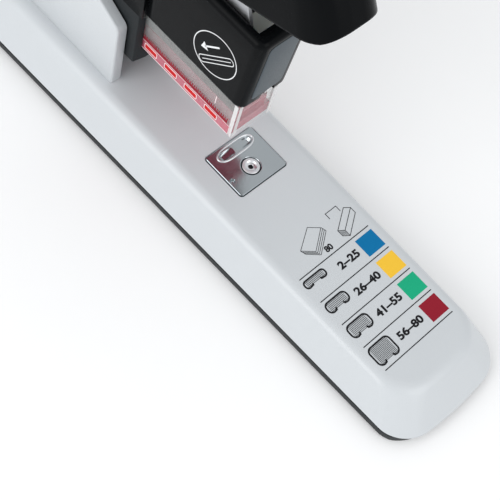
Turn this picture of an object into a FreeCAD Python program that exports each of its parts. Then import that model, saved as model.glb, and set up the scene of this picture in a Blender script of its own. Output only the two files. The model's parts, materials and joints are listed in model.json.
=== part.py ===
"""Heavy-duty cartridge stapler, in millimetres.

X is the user's right, -Y the front of the base, +Z up. The origin is the middle of the base on the table.
Every sub-part is an object of one document, and its sizes follow the cells of the sheet named Sizes.
"""
import FreeCAD, Part
import math
import os
import re
import Sketcher

SIZES = {
    # base shell and sole
    "base_length": 301, "base_height": 22, "front_half": 33.6, "rear_half": 40.8,
    "top_front_half": 25.7, "top_rear_half": 27.8, "front_slope": 15, "rear_slope": 4,
    "corner_radius": 15, "crease_radius": 2.5, "shell_wall": 2.5,
    "sole_inset": 0.2, "sole_corner": 17, "sole_bottom": 0.6, "sole_thickness": 2,
    "parting_front": 4.6, "parting_rear": 4.3,
    "foot_radius": 6, "foot_height": 1.6, "foot_x": 21, "foot_y": 124,
    "sole_screw_x": 20, "sole_screw_y": 100, "boss_radius": 3.6, "sole_boss_top": 12,
    "sole_screw_head": 2.6, "sole_screw_shank": 1.4, "sole_screw_tip": 16,
    # steel chassis under the shell and the anvil in its recess
    "chassis_half": 14, "chassis_steel": 2, "chassis_front": 25, "chassis_back": 141, "chassis_flange": 8,
    "anvil_half": 13.9, "anvil_front": 21.5, "anvil_back": 2.6, "anvil_proud": 0.5, "anvil_gap": 0.3,
    "clinch_y": 1.8, "clinch_half_width": 1.2, "clinch_inner": 0.9, "clinch_outer": 9.4, "clinch_depth": 1.2,
    "anvil_screw_y": 12.6, "anvil_head": 4, "anvil_shank": 2, "anvil_screw_sunk": 0.1, "anvil_screw_tip": 10,
    "anvil_socket": 0.9, "anvil_socket_depth": 1.7, "anvil_corner": 1.4,
    "dimple_x": 11.7, "dimple_y": 13.5, "dimple_radius": 1.2, "dimple_depth": 0.6,
    # column round the hinge
    "column_front": 56.7, "column_back": 145.5, "column_half": 21.9, "cheek_inner": 16.4,
    "column_low": 60, "column_high": 78, "column_rear_top": 58, "column_screw_x": 18.8,
    "column_screw_head": 2.2, "column_screw_shank": 1.1, "column_screw_length": 16,
    "post_radius": 2.3, "post_height": 18, "column_corner": 4, "column_edge": 1.2,
    # hinge of the arm
    "hinge_y": 130, "hinge_z": 34, "hinge_pin_radius": 3, "hinge_pin_half": 17, "running_gap": 0.05,
    "ear_inner": 13.2, "ear_outer": 15.2, "ear_radius": 9, "bracket_floor": 2,
    "bracket_screw_x": 5.5, "bracket_screw_reach": 9, "bracket_half_length": 12.5,
    "bracket_screw_head": 3.2, "bracket_screw_shank": 1.8, "bracket_screw_tip": 10,
    "clip_radius": 5, "hinge_clip_width": 1, "hinge_bush": 6, "hinge_sleeve": 4.5,
    "arm_spring_y": 85, "arm_spring_outer": 7, "arm_spring_inner": 5.6, "arm_spring_seat": 5.9,
    # arm: steel channel, tray, covers
    "plate_inner": 10.7, "plate_outer": 12.2, "frame_front": -2.2, "frame_floor": 70.4, "frame_steel": 1.5,
    "tray_half": 15.6, "tray_front": 50.6, "tray_back": 112, "tray_bottom": 38,
    "tunnel_half": 11.75, "tunnel_floor": 46.4, "tray_wall": 2.4,
    "cover_inner": 13, "cover_top": 104, "cover_wall": 2.2, "cover_front": 50.2,
    "head_half": 14.2, "head_inner": 12.4, "head_front": -7.05, "head_lean": 2.25, "head_back": 50,
    "head_lip": 71, "head_edge": 73.3, "head_top": 115, "head_wall": 1.8, "head_roof": 2.5,
    "lever_slot_half": 10.2, "arm_eye": 8.5, "channel_top": 110, "guide_thickness": 1.4, "arm_floor_front": 10,
    "cover_screw_head": 2.6, "cover_screw_shank": 1.4, "lever_clip_width": 0.7, "lever_bush": 5.5,
    "driver_spring_outer": 4.5, "driver_spring_inner": 3.5, "head_corner": 3,
    # lever, drawn pressed down and lifted about its pivot
    "lever_y": 80, "lever_z": 91.5, "lever_pin_radius": 3, "lever_pin_half": 12.95,
    "lever_inner": 8, "lever_outer": 9.6, "drive_radius": 77.2, "drive_pin_radius": 2.5,
    "driver_travel": 23, "crossbar_y": 38, "crossbar_z": 84.5, "crossbar_radius": 2, "crossbar_rest_z": 96.9,
    "drive_clip": 4, "drive_clip_width": 0.6, "web_drop": 10, "web_steel": 1.6,
    "handle_screw_y": 60, "handle_screw_head": 3, "handle_screw_shank": 1.6, "handle_boss": 4,
    "handle_half": 17.2, "handle_wall": 2.3, "handle_front": -46, "handle_back": 104,
    "handle_top": 131, "handle_skirt": 107, "handle_nose": 14, "grip_half": 13, "grip_thickness": 2,
    # driver
    "blade_half": 6.4, "blade_front": -2.15, "blade_thickness": 0.7, "blade_bottom": 70, "blade_top": 104,
    "carriage_half": 7.6, "carriage_back": 8, "carriage_bottom": 93, "carriage_top": 109,
    "wing_half": 10.5, "wing_top": 96.5, "slot_play": 0.6,
    "rivet_x": 4, "rivet_z": 97.6, "rivet_radius": 1.25, "rivet_back": 1.5,
    # cartridge with its staples
    "cartridge_half": 11.35, "cartridge_front": -5.4, "cartridge_back": 108, "cartridge_bottom": 46.8,
    "cartridge_top": 69.3, "cartridge_wall": 1.3, "rail_top": 53, "core_half": 5.5, "core_top": 66,
    "channel_front": -2.5, "channel_back": -1.1, "channel_half": 6.9, "nose_half": 7.7, "nose_top": 60.7,
    "staple_half": 6.5, "staple_wire": 0.7, "staple_tip": 55, "staple_top": 67, "strip_back": 66,
    "pusher_half": 8.6, "pusher_length": 10, "pusher_spring_z": 60.5,
    "pusher_spring_outer": 2, "pusher_spring_inner": 1.4,
    # release latch
    "latch_left": 1.6, "latch_right": 5, "latch_front": -5, "latch_back": -3.8, "latch_bottom": 69.6,
    "latch_top": 82, "latch_stop": 90, "latch_rib": 1.5, "latch_spring_y": 4.8,
    "latch_spring_outer": 0.95, "latch_spring_inner": 0.55,
}

doc = FreeCAD.newDocument("stapler")
sheet = doc.addObject("Spreadsheet::Sheet", "Sizes")
for row, (alias, number) in enumerate(SIZES.items(), 1):
    sheet.set(f"A{row}", alias)
    sheet.set(f"B{row}", str(number))
    sheet.setAlias(f"B{row}", alias)
doc.recompute()

NODES = []


# ---- building blocks: every size is a formula in the sheet's names ----

def formula(text):
    """The formula with each name pointing at its cell."""
    return re.sub(r"[a-z]\w*", lambda word: f"Sizes.{word[0]}" if word[0] in SIZES else word[0], str(text))


def bind(thing, path, text):
    thing.setExpression(path, formula(text))


def block(name, x_span, y_span, z_span):
    """A box between the two places given on each axis."""
    box = doc.addObject("Part::Box", name)
    spans = zip("xyz", ("Length", "Width", "Height"), (x_span, y_span, z_span))
    for axis, side, (low, high) in spans:
        bind(box, side, f"({high}) - ({low})")
        bind(box, f"Placement.Base.{axis}", low)
    return box


def rod(name, axis, place, radius, span):
    """A cylinder along axis, between the two ends of span; place is where it is on the other two axes."""
    cylinder = doc.addObject("Part::Cylinder", name)
    turns = {"x": ((0, 1, 0), 90), "y": ((1, 0, 0), -90), "z": ((0, 0, 1), 0)}
    direction, angle = turns[axis]
    cylinder.Placement = FreeCAD.Placement(
        FreeCAD.Vector(), FreeCAD.Rotation(FreeCAD.Vector(*direction), angle))
    bind(cylinder, "Radius", radius)
    bind(cylinder, "Height", f"({span[1]}) - ({span[0]})")
    start = dict(zip([other for other in "xyz" if other != axis], place))
    start[axis] = span[0]
    for key, text in start.items():
        bind(cylinder, f"Placement.Base.{key}", text)
    return cylinder


def sketch_on(body, name, role):
    """An empty sketch on one of the body's own origin planes."""
    sketch = body.newObject("Sketcher::SketchObject", name)
    plane = next(item for item in body.Origin.OriginFeatures if item.Role == role)
    sketch.AttachmentSupport = (plane, "")
    sketch.MapMode = "FlatFace"
    return sketch


def pin_point(sketch, geometry, point, place):
    """Hold one point of the sketch at its two formulas."""
    for kind, text in zip(("DistanceX", "DistanceY"), place):
        index = sketch.addConstraint(Sketcher.Constraint(kind, -1, 1, geometry, point, 1.0))
        bind(sketch, f"Constraints[{index}]", text)


def draw_outline(sketch, corners):
    """A closed outline of straight edges through the corners."""
    count = len(corners)
    ring = [FreeCAD.Vector(math.cos(2 * math.pi * i / count), math.sin(2 * math.pi * i / count), 0)
            for i in range(count + 1)]
    for start, end in zip(ring, ring[1:]):
        sketch.addGeometry(Part.LineSegment(start, end), False)
    for i in range(count):
        sketch.addConstraint(Sketcher.Constraint("Coincident", i, 2, (i + 1) % count, 1))
    for i, corner in enumerate(corners):
        pin_point(sketch, i, 1, corner)


def extruded(name, role, axis, corners, span):
    """A body whose outline lies on an origin plane, padded along axis between the two places of span."""
    body = doc.addObject("PartDesign::Body", name)
    sketch = sketch_on(body, f"{name}_outline", role)
    draw_outline(sketch, corners)
    pad = body.newObject("PartDesign::Pad", f"{name}_pad")
    pad.Profile = sketch
    bind(pad, "Length", f"({span[1]}) - ({span[0]})")
    bind(body, f"Placement.Base.{axis}", span[0])
    return body


def plate(name, corners, span):
    """A side-view outline of (y, z) corners, padded along X."""
    return extruded(name, "YZ_Plane", "x", corners, span)


def slab(name, corners, span):
    """A plan outline of (x, y) corners, padded along Z."""
    return extruded(name, "XY_Plane", "z", corners, span)


def fuse(name, *pieces):
    joined = doc.addObject("Part::MultiFuse", name)
    joined.Shapes = list(pieces)
    return joined


def cut(name, base, *tools):
    result = doc.addObject("Part::Cut", name)
    result.Base = base
    result.Tool = tools[0] if len(tools) == 1 else fuse(f"{name}_tools", *tools)
    return result


def common(name, one, other):
    result = doc.addObject("Part::MultiCommon", name)
    result.Shapes = [one, other]
    return result


def rounded(name, source, radius, wanted):
    """The source with a fillet on each edge for which wanted(edge) is true."""
    doc.recompute()
    fillet = doc.addObject("Part::Fillet", name)
    fillet.Base = source
    fillet.Edges = [(i, radius, radius) for i, edge in enumerate(source.Shape.Edges, 1) if wanted(edge)]
    return fillet


def upright(edge):
    """True for an edge that climbs, whether plumb or leaning."""
    box = edge.BoundBox
    return box.ZLength > 5 and box.XLength < box.ZLength and box.YLength < box.ZLength


def along_x(edge):
    """True for an edge along X."""
    box = edge.BoundBox
    return box.XLength > 1 and box.YLength < 0.01 and box.ZLength < 0.01


def edge_at(axis, place, tolerance=0.4):
    """A test for edges that lie wholly at one place on an axis."""
    low, high = f"{axis}Min", f"{axis}Max"
    return lambda edge: (abs(getattr(edge.BoundBox, low) - place) < tolerance
                         and abs(getattr(edge.BoundBox, high) - place) < tolerance)


def both_spans(span):
    """The span along X on the right side, and its mirror image on the left."""
    low, high = span
    return (("right", (low, high)), ("left", (f"-({high})", f"-({low})")))


def tube(name, axis, place, outer, inner, span):
    """A round tube along axis, the plain form of a coil spring or a sleeve."""
    outside = rod(f"{name}_outside", axis, place, outer, span)
    return cut(name, outside, rod(f"{name}_bore", axis, place, inner, span))


def mirrored_rings(name, where, radius, bore, span):
    """Two rings along X, one each side of the middle."""
    return fuse(name, *[tube(f"{name}_{side}", "x", where, radius, bore, ends)
                        for side, ends in both_spans(span)])


def screws(name, axis, places, head_radius, head_span, shank_radius, shank_span):
    """Identical screws with flat heads, one for each place."""
    pieces = []
    for number, place in enumerate(places, 1):
        head = rod(f"{name}_head_{number}", axis, place, head_radius, head_span)
        shank = rod(f"{name}_shank_{number}", axis, place, shank_radius, shank_span)
        pieces += [head, shank]
    return fuse(name, *pieces)


def node(thing, label):
    """Name a finished sub-part."""
    thing.Label = label
    NODES.append(thing)
    return thing


def both_sides(along):
    """The place on both sides of the middle plane, at the same place along the base."""
    return lambda x: [(x, along), (f"-({x})", along)]


# ---- base ----

def tapered_block(name, inset, low, high, corner, crease=0):
    """The base's outer form, drawn in by inset: it widens to the rear, and all its sides lean in."""
    levels = [
        (low, "front_half", "rear_half", "0", "0"),
        (high, "top_front_half", "top_rear_half", "front_slope", "rear_slope"),
    ]
    sketches = []
    for number, (level, half_front, half_rear, from_front, from_rear) in enumerate(levels):
        sketch = doc.addObject("Sketcher::SketchObject", f"{name}_level_{number}")
        bind(sketch, "Placement.Base.z", level)
        front = f"-base_length / 2 + {from_front} + {inset}"
        rear = f"base_length / 2 - {from_rear} - {inset}"
        draw_outline(sketch, [(f"-({half_front} - {inset})", front), (f"{half_front} - {inset}", front),
                              (f"{half_rear} - {inset}", rear), (f"-({half_rear} - {inset})", rear)])
        sketches.append(sketch)
    loft = doc.addObject("Part::Loft", name)
    loft.Sections = sketches
    loft.Solid = True
    loft.Ruled = True
    result = rounded(f"{name}_corners", loft, corner, upright)
    if crease:
        result = rounded(f"{name}_crease", result, crease, edge_at("Z", SIZES["base_height"]))
    return result


def below_parting():
    """Everything under the slightly tilted plane where the sole meets the shell."""
    corners = [("-base_length", "-5"), ("base_length", "-5"),
               ("base_length", "parting_rear + (parting_rear - parting_front) / 2"),
               ("-base_length", "parting_front - (parting_rear - parting_front) / 2")]
    return plate("below_parting", corners, ("-60", "60"))


def rods_at(name, places, radius, span):
    """Upright rods at each place, as one tool or one node."""
    return fuse(name, *[rod(f"{name}_{number}", "z", place, radius, span)
                        for number, place in enumerate(places, 1)])


FOOT_PLACES = both_sides("-foot_y")("foot_x") + both_sides("foot_y")("foot_x + 5")
SOLE_SCREW_PLACES = both_sides("-sole_screw_y")("sole_screw_x") + both_sides("sole_screw_y")("sole_screw_x + 4")
COLUMN_SCREW_PLACES = (both_sides("column_front + 6")("column_screw_x")
                       + both_sides("column_back - 7")("column_screw_x"))
BRACKET_SCREW_PLACES = (both_sides("hinge_y - bracket_screw_reach")("bracket_screw_x")
                        + both_sides("hinge_y + bracket_screw_reach")("bracket_screw_x"))


DECK_UNDERSIDE = "(base_height - shell_wall)"
SOLE_TOP = "(sole_bottom + sole_thickness)"
ANVIL_TOP = "(base_height + anvil_proud)"


def make_base_screws():
    """The screws of the sole, the column and the hinge bracket, as nodes that also cut their holes."""
    sole_screws = screws("base_screws", "z", SOLE_SCREW_PLACES, "sole_screw_head",
                         ("sole_bottom + 0.3", "sole_bottom + 1.6"), "sole_screw_shank",
                         ("sole_bottom + 1.6", "sole_screw_tip"))
    column_screws = screws("post_screws", "z", COLUMN_SCREW_PLACES, "column_screw_head",
                           (f"{DECK_UNDERSIDE} - 1.6", DECK_UNDERSIDE), "column_screw_shank",
                           (DECK_UNDERSIDE, "base_height + column_screw_length"))
    floor = "base_height + bracket_floor"
    bracket_screws = screws("hinge_screws", "z", BRACKET_SCREW_PLACES, "bracket_screw_head",
                            (floor, f"{floor} + 2.2"), "bracket_screw_shank", ("bracket_screw_tip", floor))
    return (node(sole_screws, "sole_screws"), node(column_screws, "column_screws"),
            node(bracket_screws, "bracket_screws"))


def make_shell(lower, fixings):
    """The white top moulding: an open-bottomed shell with bosses, screw holes and the anvil's recess."""
    outside = tapered_block("base_outside", "0", "0", "base_height", SIZES["corner_radius"],
                            SIZES["crease_radius"])
    inside = tapered_block("base_inside", "shell_wall", "-1", DECK_UNDERSIDE, SIZES["corner_radius"] - 3)
    walls = cut("shell_walls", outside, inside)
    bosses = rods_at("shell_bosses", SOLE_SCREW_PLACES, "boss_radius", (SOLE_TOP, DECK_UNDERSIDE))
    recess = block("anvil_recess", ("-anvil_half - anvil_gap", "anvil_half + anvil_gap"),
                   ("-anvil_front - anvil_gap", "anvil_back + anvil_gap"), (DECK_UNDERSIDE, "base_height + 1"))
    node(cut("shell", fuse("shell_blank", walls, bosses), lower, recess, *fixings), "base_shell")


def make_sole(lower, feet, sole_screws):
    """The dark tray that closes the shell from below."""
    outside = tapered_block("sole_outside", "sole_inset", "sole_bottom", "base_height", SIZES["sole_corner"])
    inside = tapered_block("sole_inside", "(sole_inset + sole_thickness)", SOLE_TOP, "base_height + 1",
                           SIZES["sole_corner"] - 2)
    bosses = rods_at("sole_bosses", SOLE_SCREW_PLACES, "boss_radius", (SOLE_TOP, "sole_boss_top"))
    blank = common("sole_blank", fuse("sole_with_bosses", cut("sole_walls", outside, inside), bosses), lower)
    node(cut("sole_plate", blank, feet, sole_screws), "sole")


def make_anvil_screw():
    """The countersunk screw that holds the anvil; returns its form without the socket, to cut the seat."""
    top = f"({ANVIL_TOP} - anvil_screw_sunk)"
    head = doc.addObject("Part::Cone", "anvil_screw_head")
    bind(head, "Radius1", "anvil_shank")
    bind(head, "Radius2", "anvil_head")
    bind(head, "Height", "anvil_head - anvil_shank")
    bind(head, "Placement.Base.y", "-anvil_screw_y")
    bind(head, "Placement.Base.z", f"{top} - (anvil_head - anvil_shank)")
    place = ("0", "-anvil_screw_y")
    shank = rod("anvil_screw_shank", "z", place, "anvil_shank",
                ("anvil_screw_tip", f"{top} - anvil_head + anvil_shank"))
    socket = rod("anvil_screw_drive", "z", place, "anvil_socket", (f"{top} - anvil_socket_depth", f"{top} + 1"))
    form = fuse("anvil_screw_body", head, shank)
    node(cut("plate_screw", form, socket), "anvil_screw")
    return form


def make_anvil(screw_form):
    """The steel plate in the deck, with a clinch pocket for each staple leg."""
    blank = block("anvil_blank", ("-anvil_half", "anvil_half"), ("-anvil_front", "anvil_back"),
                  (DECK_UNDERSIDE, ANVIL_TOP))
    blank = rounded("anvil_rounded", blank, SIZES["anvil_corner"], lambda edge: edge.BoundBox.ZLength > 2)
    pockets = [block(f"clinch_{side}", span, ("-clinch_y - clinch_half_width", "-clinch_y + clinch_half_width"),
                     (f"{ANVIL_TOP} - clinch_depth", f"{ANVIL_TOP} + 1"))
               for side, span in both_spans(("clinch_inner", "clinch_outer"))]
    dimple = rod("anvil_dimple", "z", ("-dimple_x", "-dimple_y"), "dimple_radius",
                 (f"{ANVIL_TOP} - dimple_depth", f"{ANVIL_TOP} + 1"))
    node(cut("anvil", blank, *pockets, dimple, screw_form), "anvil_plate")


def make_chassis(screw_form, bracket_screws):
    """The steel channel under the deck that joins the anvil to the hinge."""
    under = f"({DECK_UNDERSIDE} - chassis_steel)"
    along = ("-chassis_front", "chassis_back")
    web = block("chassis_web", ("-chassis_half", "chassis_half"), along, (under, DECK_UNDERSIDE))
    flanges = [block(f"chassis_flange_{side}", span, along, ("chassis_flange", under))
               for side, span in both_spans(("chassis_half - chassis_steel", "chassis_half"))]
    node(cut("chassis", fuse("chassis_blank", web, *flanges), screw_form, bracket_screws), "base_frame")


def make_base():
    feet = node(rods_at("feet", FOOT_PLACES, "foot_radius", ("0", "foot_height")), "rubber_feet")
    sole_screws, column_screws, bracket_screws = make_base_screws()
    lower = below_parting()
    make_shell(lower, (sole_screws, column_screws, bracket_screws))
    make_sole(lower, feet, sole_screws)
    screw_form = make_anvil_screw()
    make_anvil(screw_form)
    make_chassis(screw_form, bracket_screws)
    return bracket_screws, column_screws


def column_outline(shrink):
    """The column's side view, drawn in by shrink on every side but the open bottom."""
    front, back = f"column_front + {shrink}", f"column_back - {shrink}"
    foot = "base_height" if shrink == "0" else "base_height - 1"
    return [(front, foot), (back, foot), (back, f"column_rear_top - {shrink}"),
            (f"hinge_y - {shrink} / 2", f"column_high - {shrink}"), (f"hinge_y - 18", f"column_high - {shrink}"),
            (f"column_front + 16", f"column_low + 9 - {shrink}"), (front, f"column_low - {shrink}")]


def make_column(column_screws):
    """Two cheeks, open towards the arm, and the plate between them at the back."""
    above_deck = SIZES["base_height"] + 1
    outer_spans = both_spans(("cheek_inner", "column_half"))
    inner_spans = both_spans(("cheek_inner - 1", "column_half - shell_wall"))
    for (side, outer), (_, inner) in zip(outer_spans, inner_spans):
        sign = 1 if side == "right" else -1
        outer_x = sign * SIZES["column_half"]
        blank = plate(f"cheek_{side}", column_outline("0"), outer)
        softened = rounded(f"cheek_{side}_rounded", blank, SIZES["column_corner"],
                           lambda edge: along_x(edge) and edge.BoundBox.ZMin > above_deck)
        softened = rounded(f"cheek_{side}_edges", softened, SIZES["column_edge"],
                           lambda edge: edge_at("X", outer_x)(edge) and edge.BoundBox.ZMax > above_deck)
        hollow = plate(f"cheek_{side}_hollow", column_outline("shell_wall"), inner)
        places = [place for place in COLUMN_SCREW_PLACES if place[0].startswith("-") == (sign < 0)]
        posts = rods_at(f"cheek_{side}_posts", places, "post_radius", ("base_height", "base_height + post_height"))
        shell = fuse(f"cheek_{side}_shell", cut(f"cheek_{side}_open", softened, hollow), posts)
        node(cut(f"column_{side}_cut", shell, column_screws), f"column_{side}")
    node(block("back_plate", ("-cheek_inner", "cheek_inner"), ("column_back - shell_wall", "column_back - 0.4"),
               ("base_height", "column_rear_top - 2")), "column_back")


HINGE = ("hinge_y", "hinge_z")


def make_hinge(bracket_screws):
    pin_rod = rod("arm_hinge_pin", "x", HINGE, "hinge_pin_radius", ("-hinge_pin_half", "hinge_pin_half"))
    pin = node(pin_rod, "hinge_pin")
    floor = block("bracket_base", ("-ear_outer", "ear_outer"),
                  ("hinge_y - bracket_half_length", "hinge_y + bracket_half_length"),
                  ("base_height", "base_height + bracket_floor"))
    ears = []
    for side, span in both_spans(("ear_inner", "ear_outer")):
        ears.append(block(f"ear_{side}_post", span, ("hinge_y - ear_radius", "hinge_y + ear_radius"),
                          ("base_height", "hinge_z")))
        ears.append(rod(f"ear_{side}_eye", "x", HINGE, "ear_radius", span))
    node(cut("bracket", fuse("bracket_blank", floor, *ears), pin, bracket_screws), "hinge_bracket")
    node(mirrored_rings("hinge_rings", HINGE, "clip_radius", "hinge_pin_radius",
                        ("ear_outer", "ear_outer + hinge_clip_width")), "hinge_clips")
    node(mirrored_rings("arm_bushes", HINGE, "hinge_bush", "hinge_pin_radius + running_gap",
                        ("plate_outer", "ear_inner - 0.1")), "pivot_bushes")
    node(tube("sleeve", "x", HINGE, "hinge_sleeve", "hinge_pin_radius + running_gap",
              ("-plate_inner", "plate_inner")), "pivot_sleeve")
    node(tube("arm_spring_tube", "z", ("0", "arm_spring_y"), "arm_spring_outer", "arm_spring_inner",
              ("base_height", "tray_bottom + arm_spring_seat")), "arm_spring")


# ---- arm ----

LEVER = ("lever_y", "lever_z")


def side_screws():
    """Screws through the covers into the channel, from both sides."""
    rows = (("head_half", ("43", "93")), ("tray_half", ("62", "79")), ("tray_half", ("104", "79")))
    groups = []
    for number, (half, place) in enumerate(rows, 1):
        heads = both_spans((f"{half} - 1.6", f"{half} - 0.15"))
        shanks = both_spans(("plate_inner", f"{half} - 1.6"))
        for (side, head), (_, shank) in zip(heads, shanks):
            groups.append(screws(f"cover_screw_{side}_{number}", "x", [place], "cover_screw_head", head,
                                 "cover_screw_shank", shank))
    return fuse("side_screws", *groups)


def make_channel(fixings):
    """The steel channel that carries the covers, the lever's pin and the driver's guide."""
    bore = rod("arm_bore", "x", HINGE, "hinge_pin_radius + running_gap", ("-plate_outer - 1", "plate_outer + 1"))
    lever_pin = node(rod("lever_axle", "x", LEVER, "lever_pin_radius", ("-lever_pin_half", "lever_pin_half")),
                     "lever_pin")
    side_view = [("frame_front", "frame_floor"), ("tray_back", "frame_floor"), ("hinge_y - arm_eye", "56"),
                 ("hinge_y - arm_eye", "hinge_z"), ("hinge_y + arm_eye", "hinge_z"), ("hinge_y + arm_eye", "62"),
                 ("hinge_y + 3", "75"), ("lever_y + 18", "95"), ("lever_y - 20", "98.5"), ("14", "channel_top"),
                 ("frame_front", "channel_top")]
    sides = []
    for side, span in both_spans(("plate_inner", "plate_outer")):
        sides.append(plate(f"arm_side_{side}", side_view, span))
        sides.append(rod(f"arm_eye_{side}", "x", HINGE, "arm_eye", span))
    floor = block("arm_floor", ("-plate_inner", "plate_inner"), ("arm_floor_front", "tray_back"),
                  ("frame_floor", "frame_floor + frame_steel"))
    node(cut("channel", fuse("channel_blank", floor, *sides), bore, lever_pin, fixings), "arm_frame")
    node(block("guide_plate", ("-plate_outer", "plate_outer"), ("frame_front - guide_thickness", "frame_front"),
               ("frame_floor", "channel_top")), "driver_guide")


def make_lever_bearing():
    """Clips and bushes of the lever's pin, and the spring that lifts the lever."""
    node(mirrored_rings("axle_rings", LEVER, "clip_radius", "lever_pin_radius",
                        ("plate_outer", "plate_outer + lever_clip_width")), "lever_pin_clips")
    node(mirrored_rings("axle_bushes", LEVER, "lever_bush", "lever_pin_radius",
                        ("lever_outer + 0.1", "plate_inner")), "lever_bushes")
    node(tube("driver_spring_tube", "z", ("0", "crossbar_y"), "driver_spring_outer", "driver_spring_inner",
              ("frame_floor + frame_steel", "crossbar_rest_z - crossbar_radius")), "driver_spring")


def make_tray():
    """The dark tunnel that the cartridge slides in."""
    plan = [("-tray_half", "tray_front + 1.2"), ("-9", "tray_front"), ("9", "tray_front"),
            ("tray_half", "tray_front + 1.2"), ("tray_half", "tray_back"), ("-tray_half", "tray_back")]
    blank = slab("tray_blank", plan, ("tray_bottom", "frame_floor"))
    blank = rounded("tray_rounded", blank, 1.5, edge_at("Z", SIZES["tray_bottom"]))
    tunnel = block("tray_tunnel", ("-tunnel_half", "tunnel_half"), ("tray_front - 5", "tray_back + 5"),
                   ("tunnel_floor", "frame_floor + 1"))
    below = block("tray_hollow", ("-tray_half + tray_wall", "tray_half - tray_wall"),
                  ("tray_front + 3", "tray_back - tray_wall"), ("tray_bottom - 1", "tunnel_floor - tray_wall"))
    node(cut("tray", blank, tunnel, below), "arm_tray")


def cover_rim(edge):
    """True for the rear cover's outer side edges, above its foot and behind its open front."""
    on_side = edge_at("X", SIZES["tray_half"])(edge) or edge_at("X", -SIZES["tray_half"])(edge)
    box = edge.BoundBox
    return on_side and box.ZMin > SIZES["frame_floor"] + 3 and box.YMax > SIZES["cover_front"] + 1


def make_rear_cover(fixings):
    outer = [("cover_front", "frame_floor"), ("tray_back + 1", "frame_floor"), ("tray_back + 1", "58"),
             ("hinge_y - 12", "48"), ("hinge_y + 11", "48"), ("hinge_y + 11", "74"), ("hinge_y + 8", "80"),
             ("lever_y + 8", "cover_top"), ("cover_front", "cover_top")]
    inner = [("cover_front - 3", "frame_floor - 30"), ("hinge_y + 8.8", "frame_floor - 30"),
             ("hinge_y + 8.8", "73.4"), ("hinge_y + 6.6", "78.4"), ("lever_y + 7.4", "cover_top - cover_wall"),
             ("cover_front - 3", "cover_top - cover_wall")]
    shell = rounded("cover_rounded", plate("cover_blank", outer, ("-tray_half", "tray_half")), 2, cover_rim)
    hollow = plate("cover_hollow", inner, ("-cover_inner", "cover_inner"))
    slot = block("cover_slot", ("-lever_slot_half", "lever_slot_half"), ("cover_front - 2", "lever_y + 27"),
                 ("cover_top - 12", "cover_top + 2"))
    node(cut("rear_cover", shell, hollow, slot, fixings), "arm_cover")


def make_head_cover(fixings):
    """The black front cover, open below and behind, with a window for the release tab."""
    outer = [("head_front", "head_lip"), ("-2", "head_lip"), ("-2", "head_edge"), ("head_back", "head_edge"),
             ("head_back", "head_top"), ("head_front - head_lean", "head_top")]
    inner = [("head_front + head_wall", "head_lip - 4"), ("head_back + 2", "head_lip - 4"),
             ("head_back + 2", "head_top - head_roof"),
             ("head_front - head_lean + head_wall", "head_top - head_roof")]
    head = plate("head_blank", outer, ("-head_half", "head_half"))
    head = rounded("head_rounded", head, SIZES["head_corner"],
                   lambda edge: upright(edge) and edge.BoundBox.YMax < 0)
    cavity = plate("head_cavity", inner, ("-head_inner", "head_inner"))
    opening = block("head_slot", ("-lever_slot_half", "lever_slot_half"), ("-3", "head_back + 2"),
                    ("head_top - head_roof - 1", "head_top + 2"))
    window = block("latch_window", ("latch_left - 0.3", "latch_right + 0.3"), ("head_front - 2", "latch_back + 0.1"),
                   ("head_lip - 2", "head_lip + 3.5"))
    rib = block("latch_rib", ("latch_left", "latch_right"), ("head_front", "latch_back + 0.1"),
                ("latch_stop", "latch_stop + latch_rib"))
    hollow_head = cut("head_hollow", head, cavity, opening, window, fixings)
    node(fuse("head_with_rib", hollow_head, rib), "head_cover")


def make_arm():
    fixings = node(side_screws(), "cover_screws")
    make_channel(fixings)
    make_lever_bearing()
    make_tray()
    make_rear_cover(fixings)
    make_head_cover(fixings)


# ---- lever, drawn pressed down and then lifted ----

def lever_lift():
    """The turn that carries the lever from pressed down to its rest, about its pivot."""
    half_angle = math.degrees(math.asin(SIZES["driver_travel"] / 2 / SIZES["drive_radius"]))
    pivot = FreeCAD.Vector(0, SIZES["lever_y"], SIZES["lever_z"])
    turn = FreeCAD.Rotation(FreeCAD.Vector(1, 0, 0), -2 * half_angle)
    return FreeCAD.Placement(FreeCAD.Vector(), turn, pivot)


def lifted(source, label):
    """A finished piece of the lever, at rest."""
    holder = doc.addObject("Part::Compound", f"{label}_lifted")
    holder.Links = [source]
    holder.Placement = lever_lift()
    return node(holder, label)


WEB_TOP = "(handle_top - web_drop)"
HANDLE_SCREW_PLACES = [("0", "0"), ("0", "handle_screw_y")]


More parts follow.
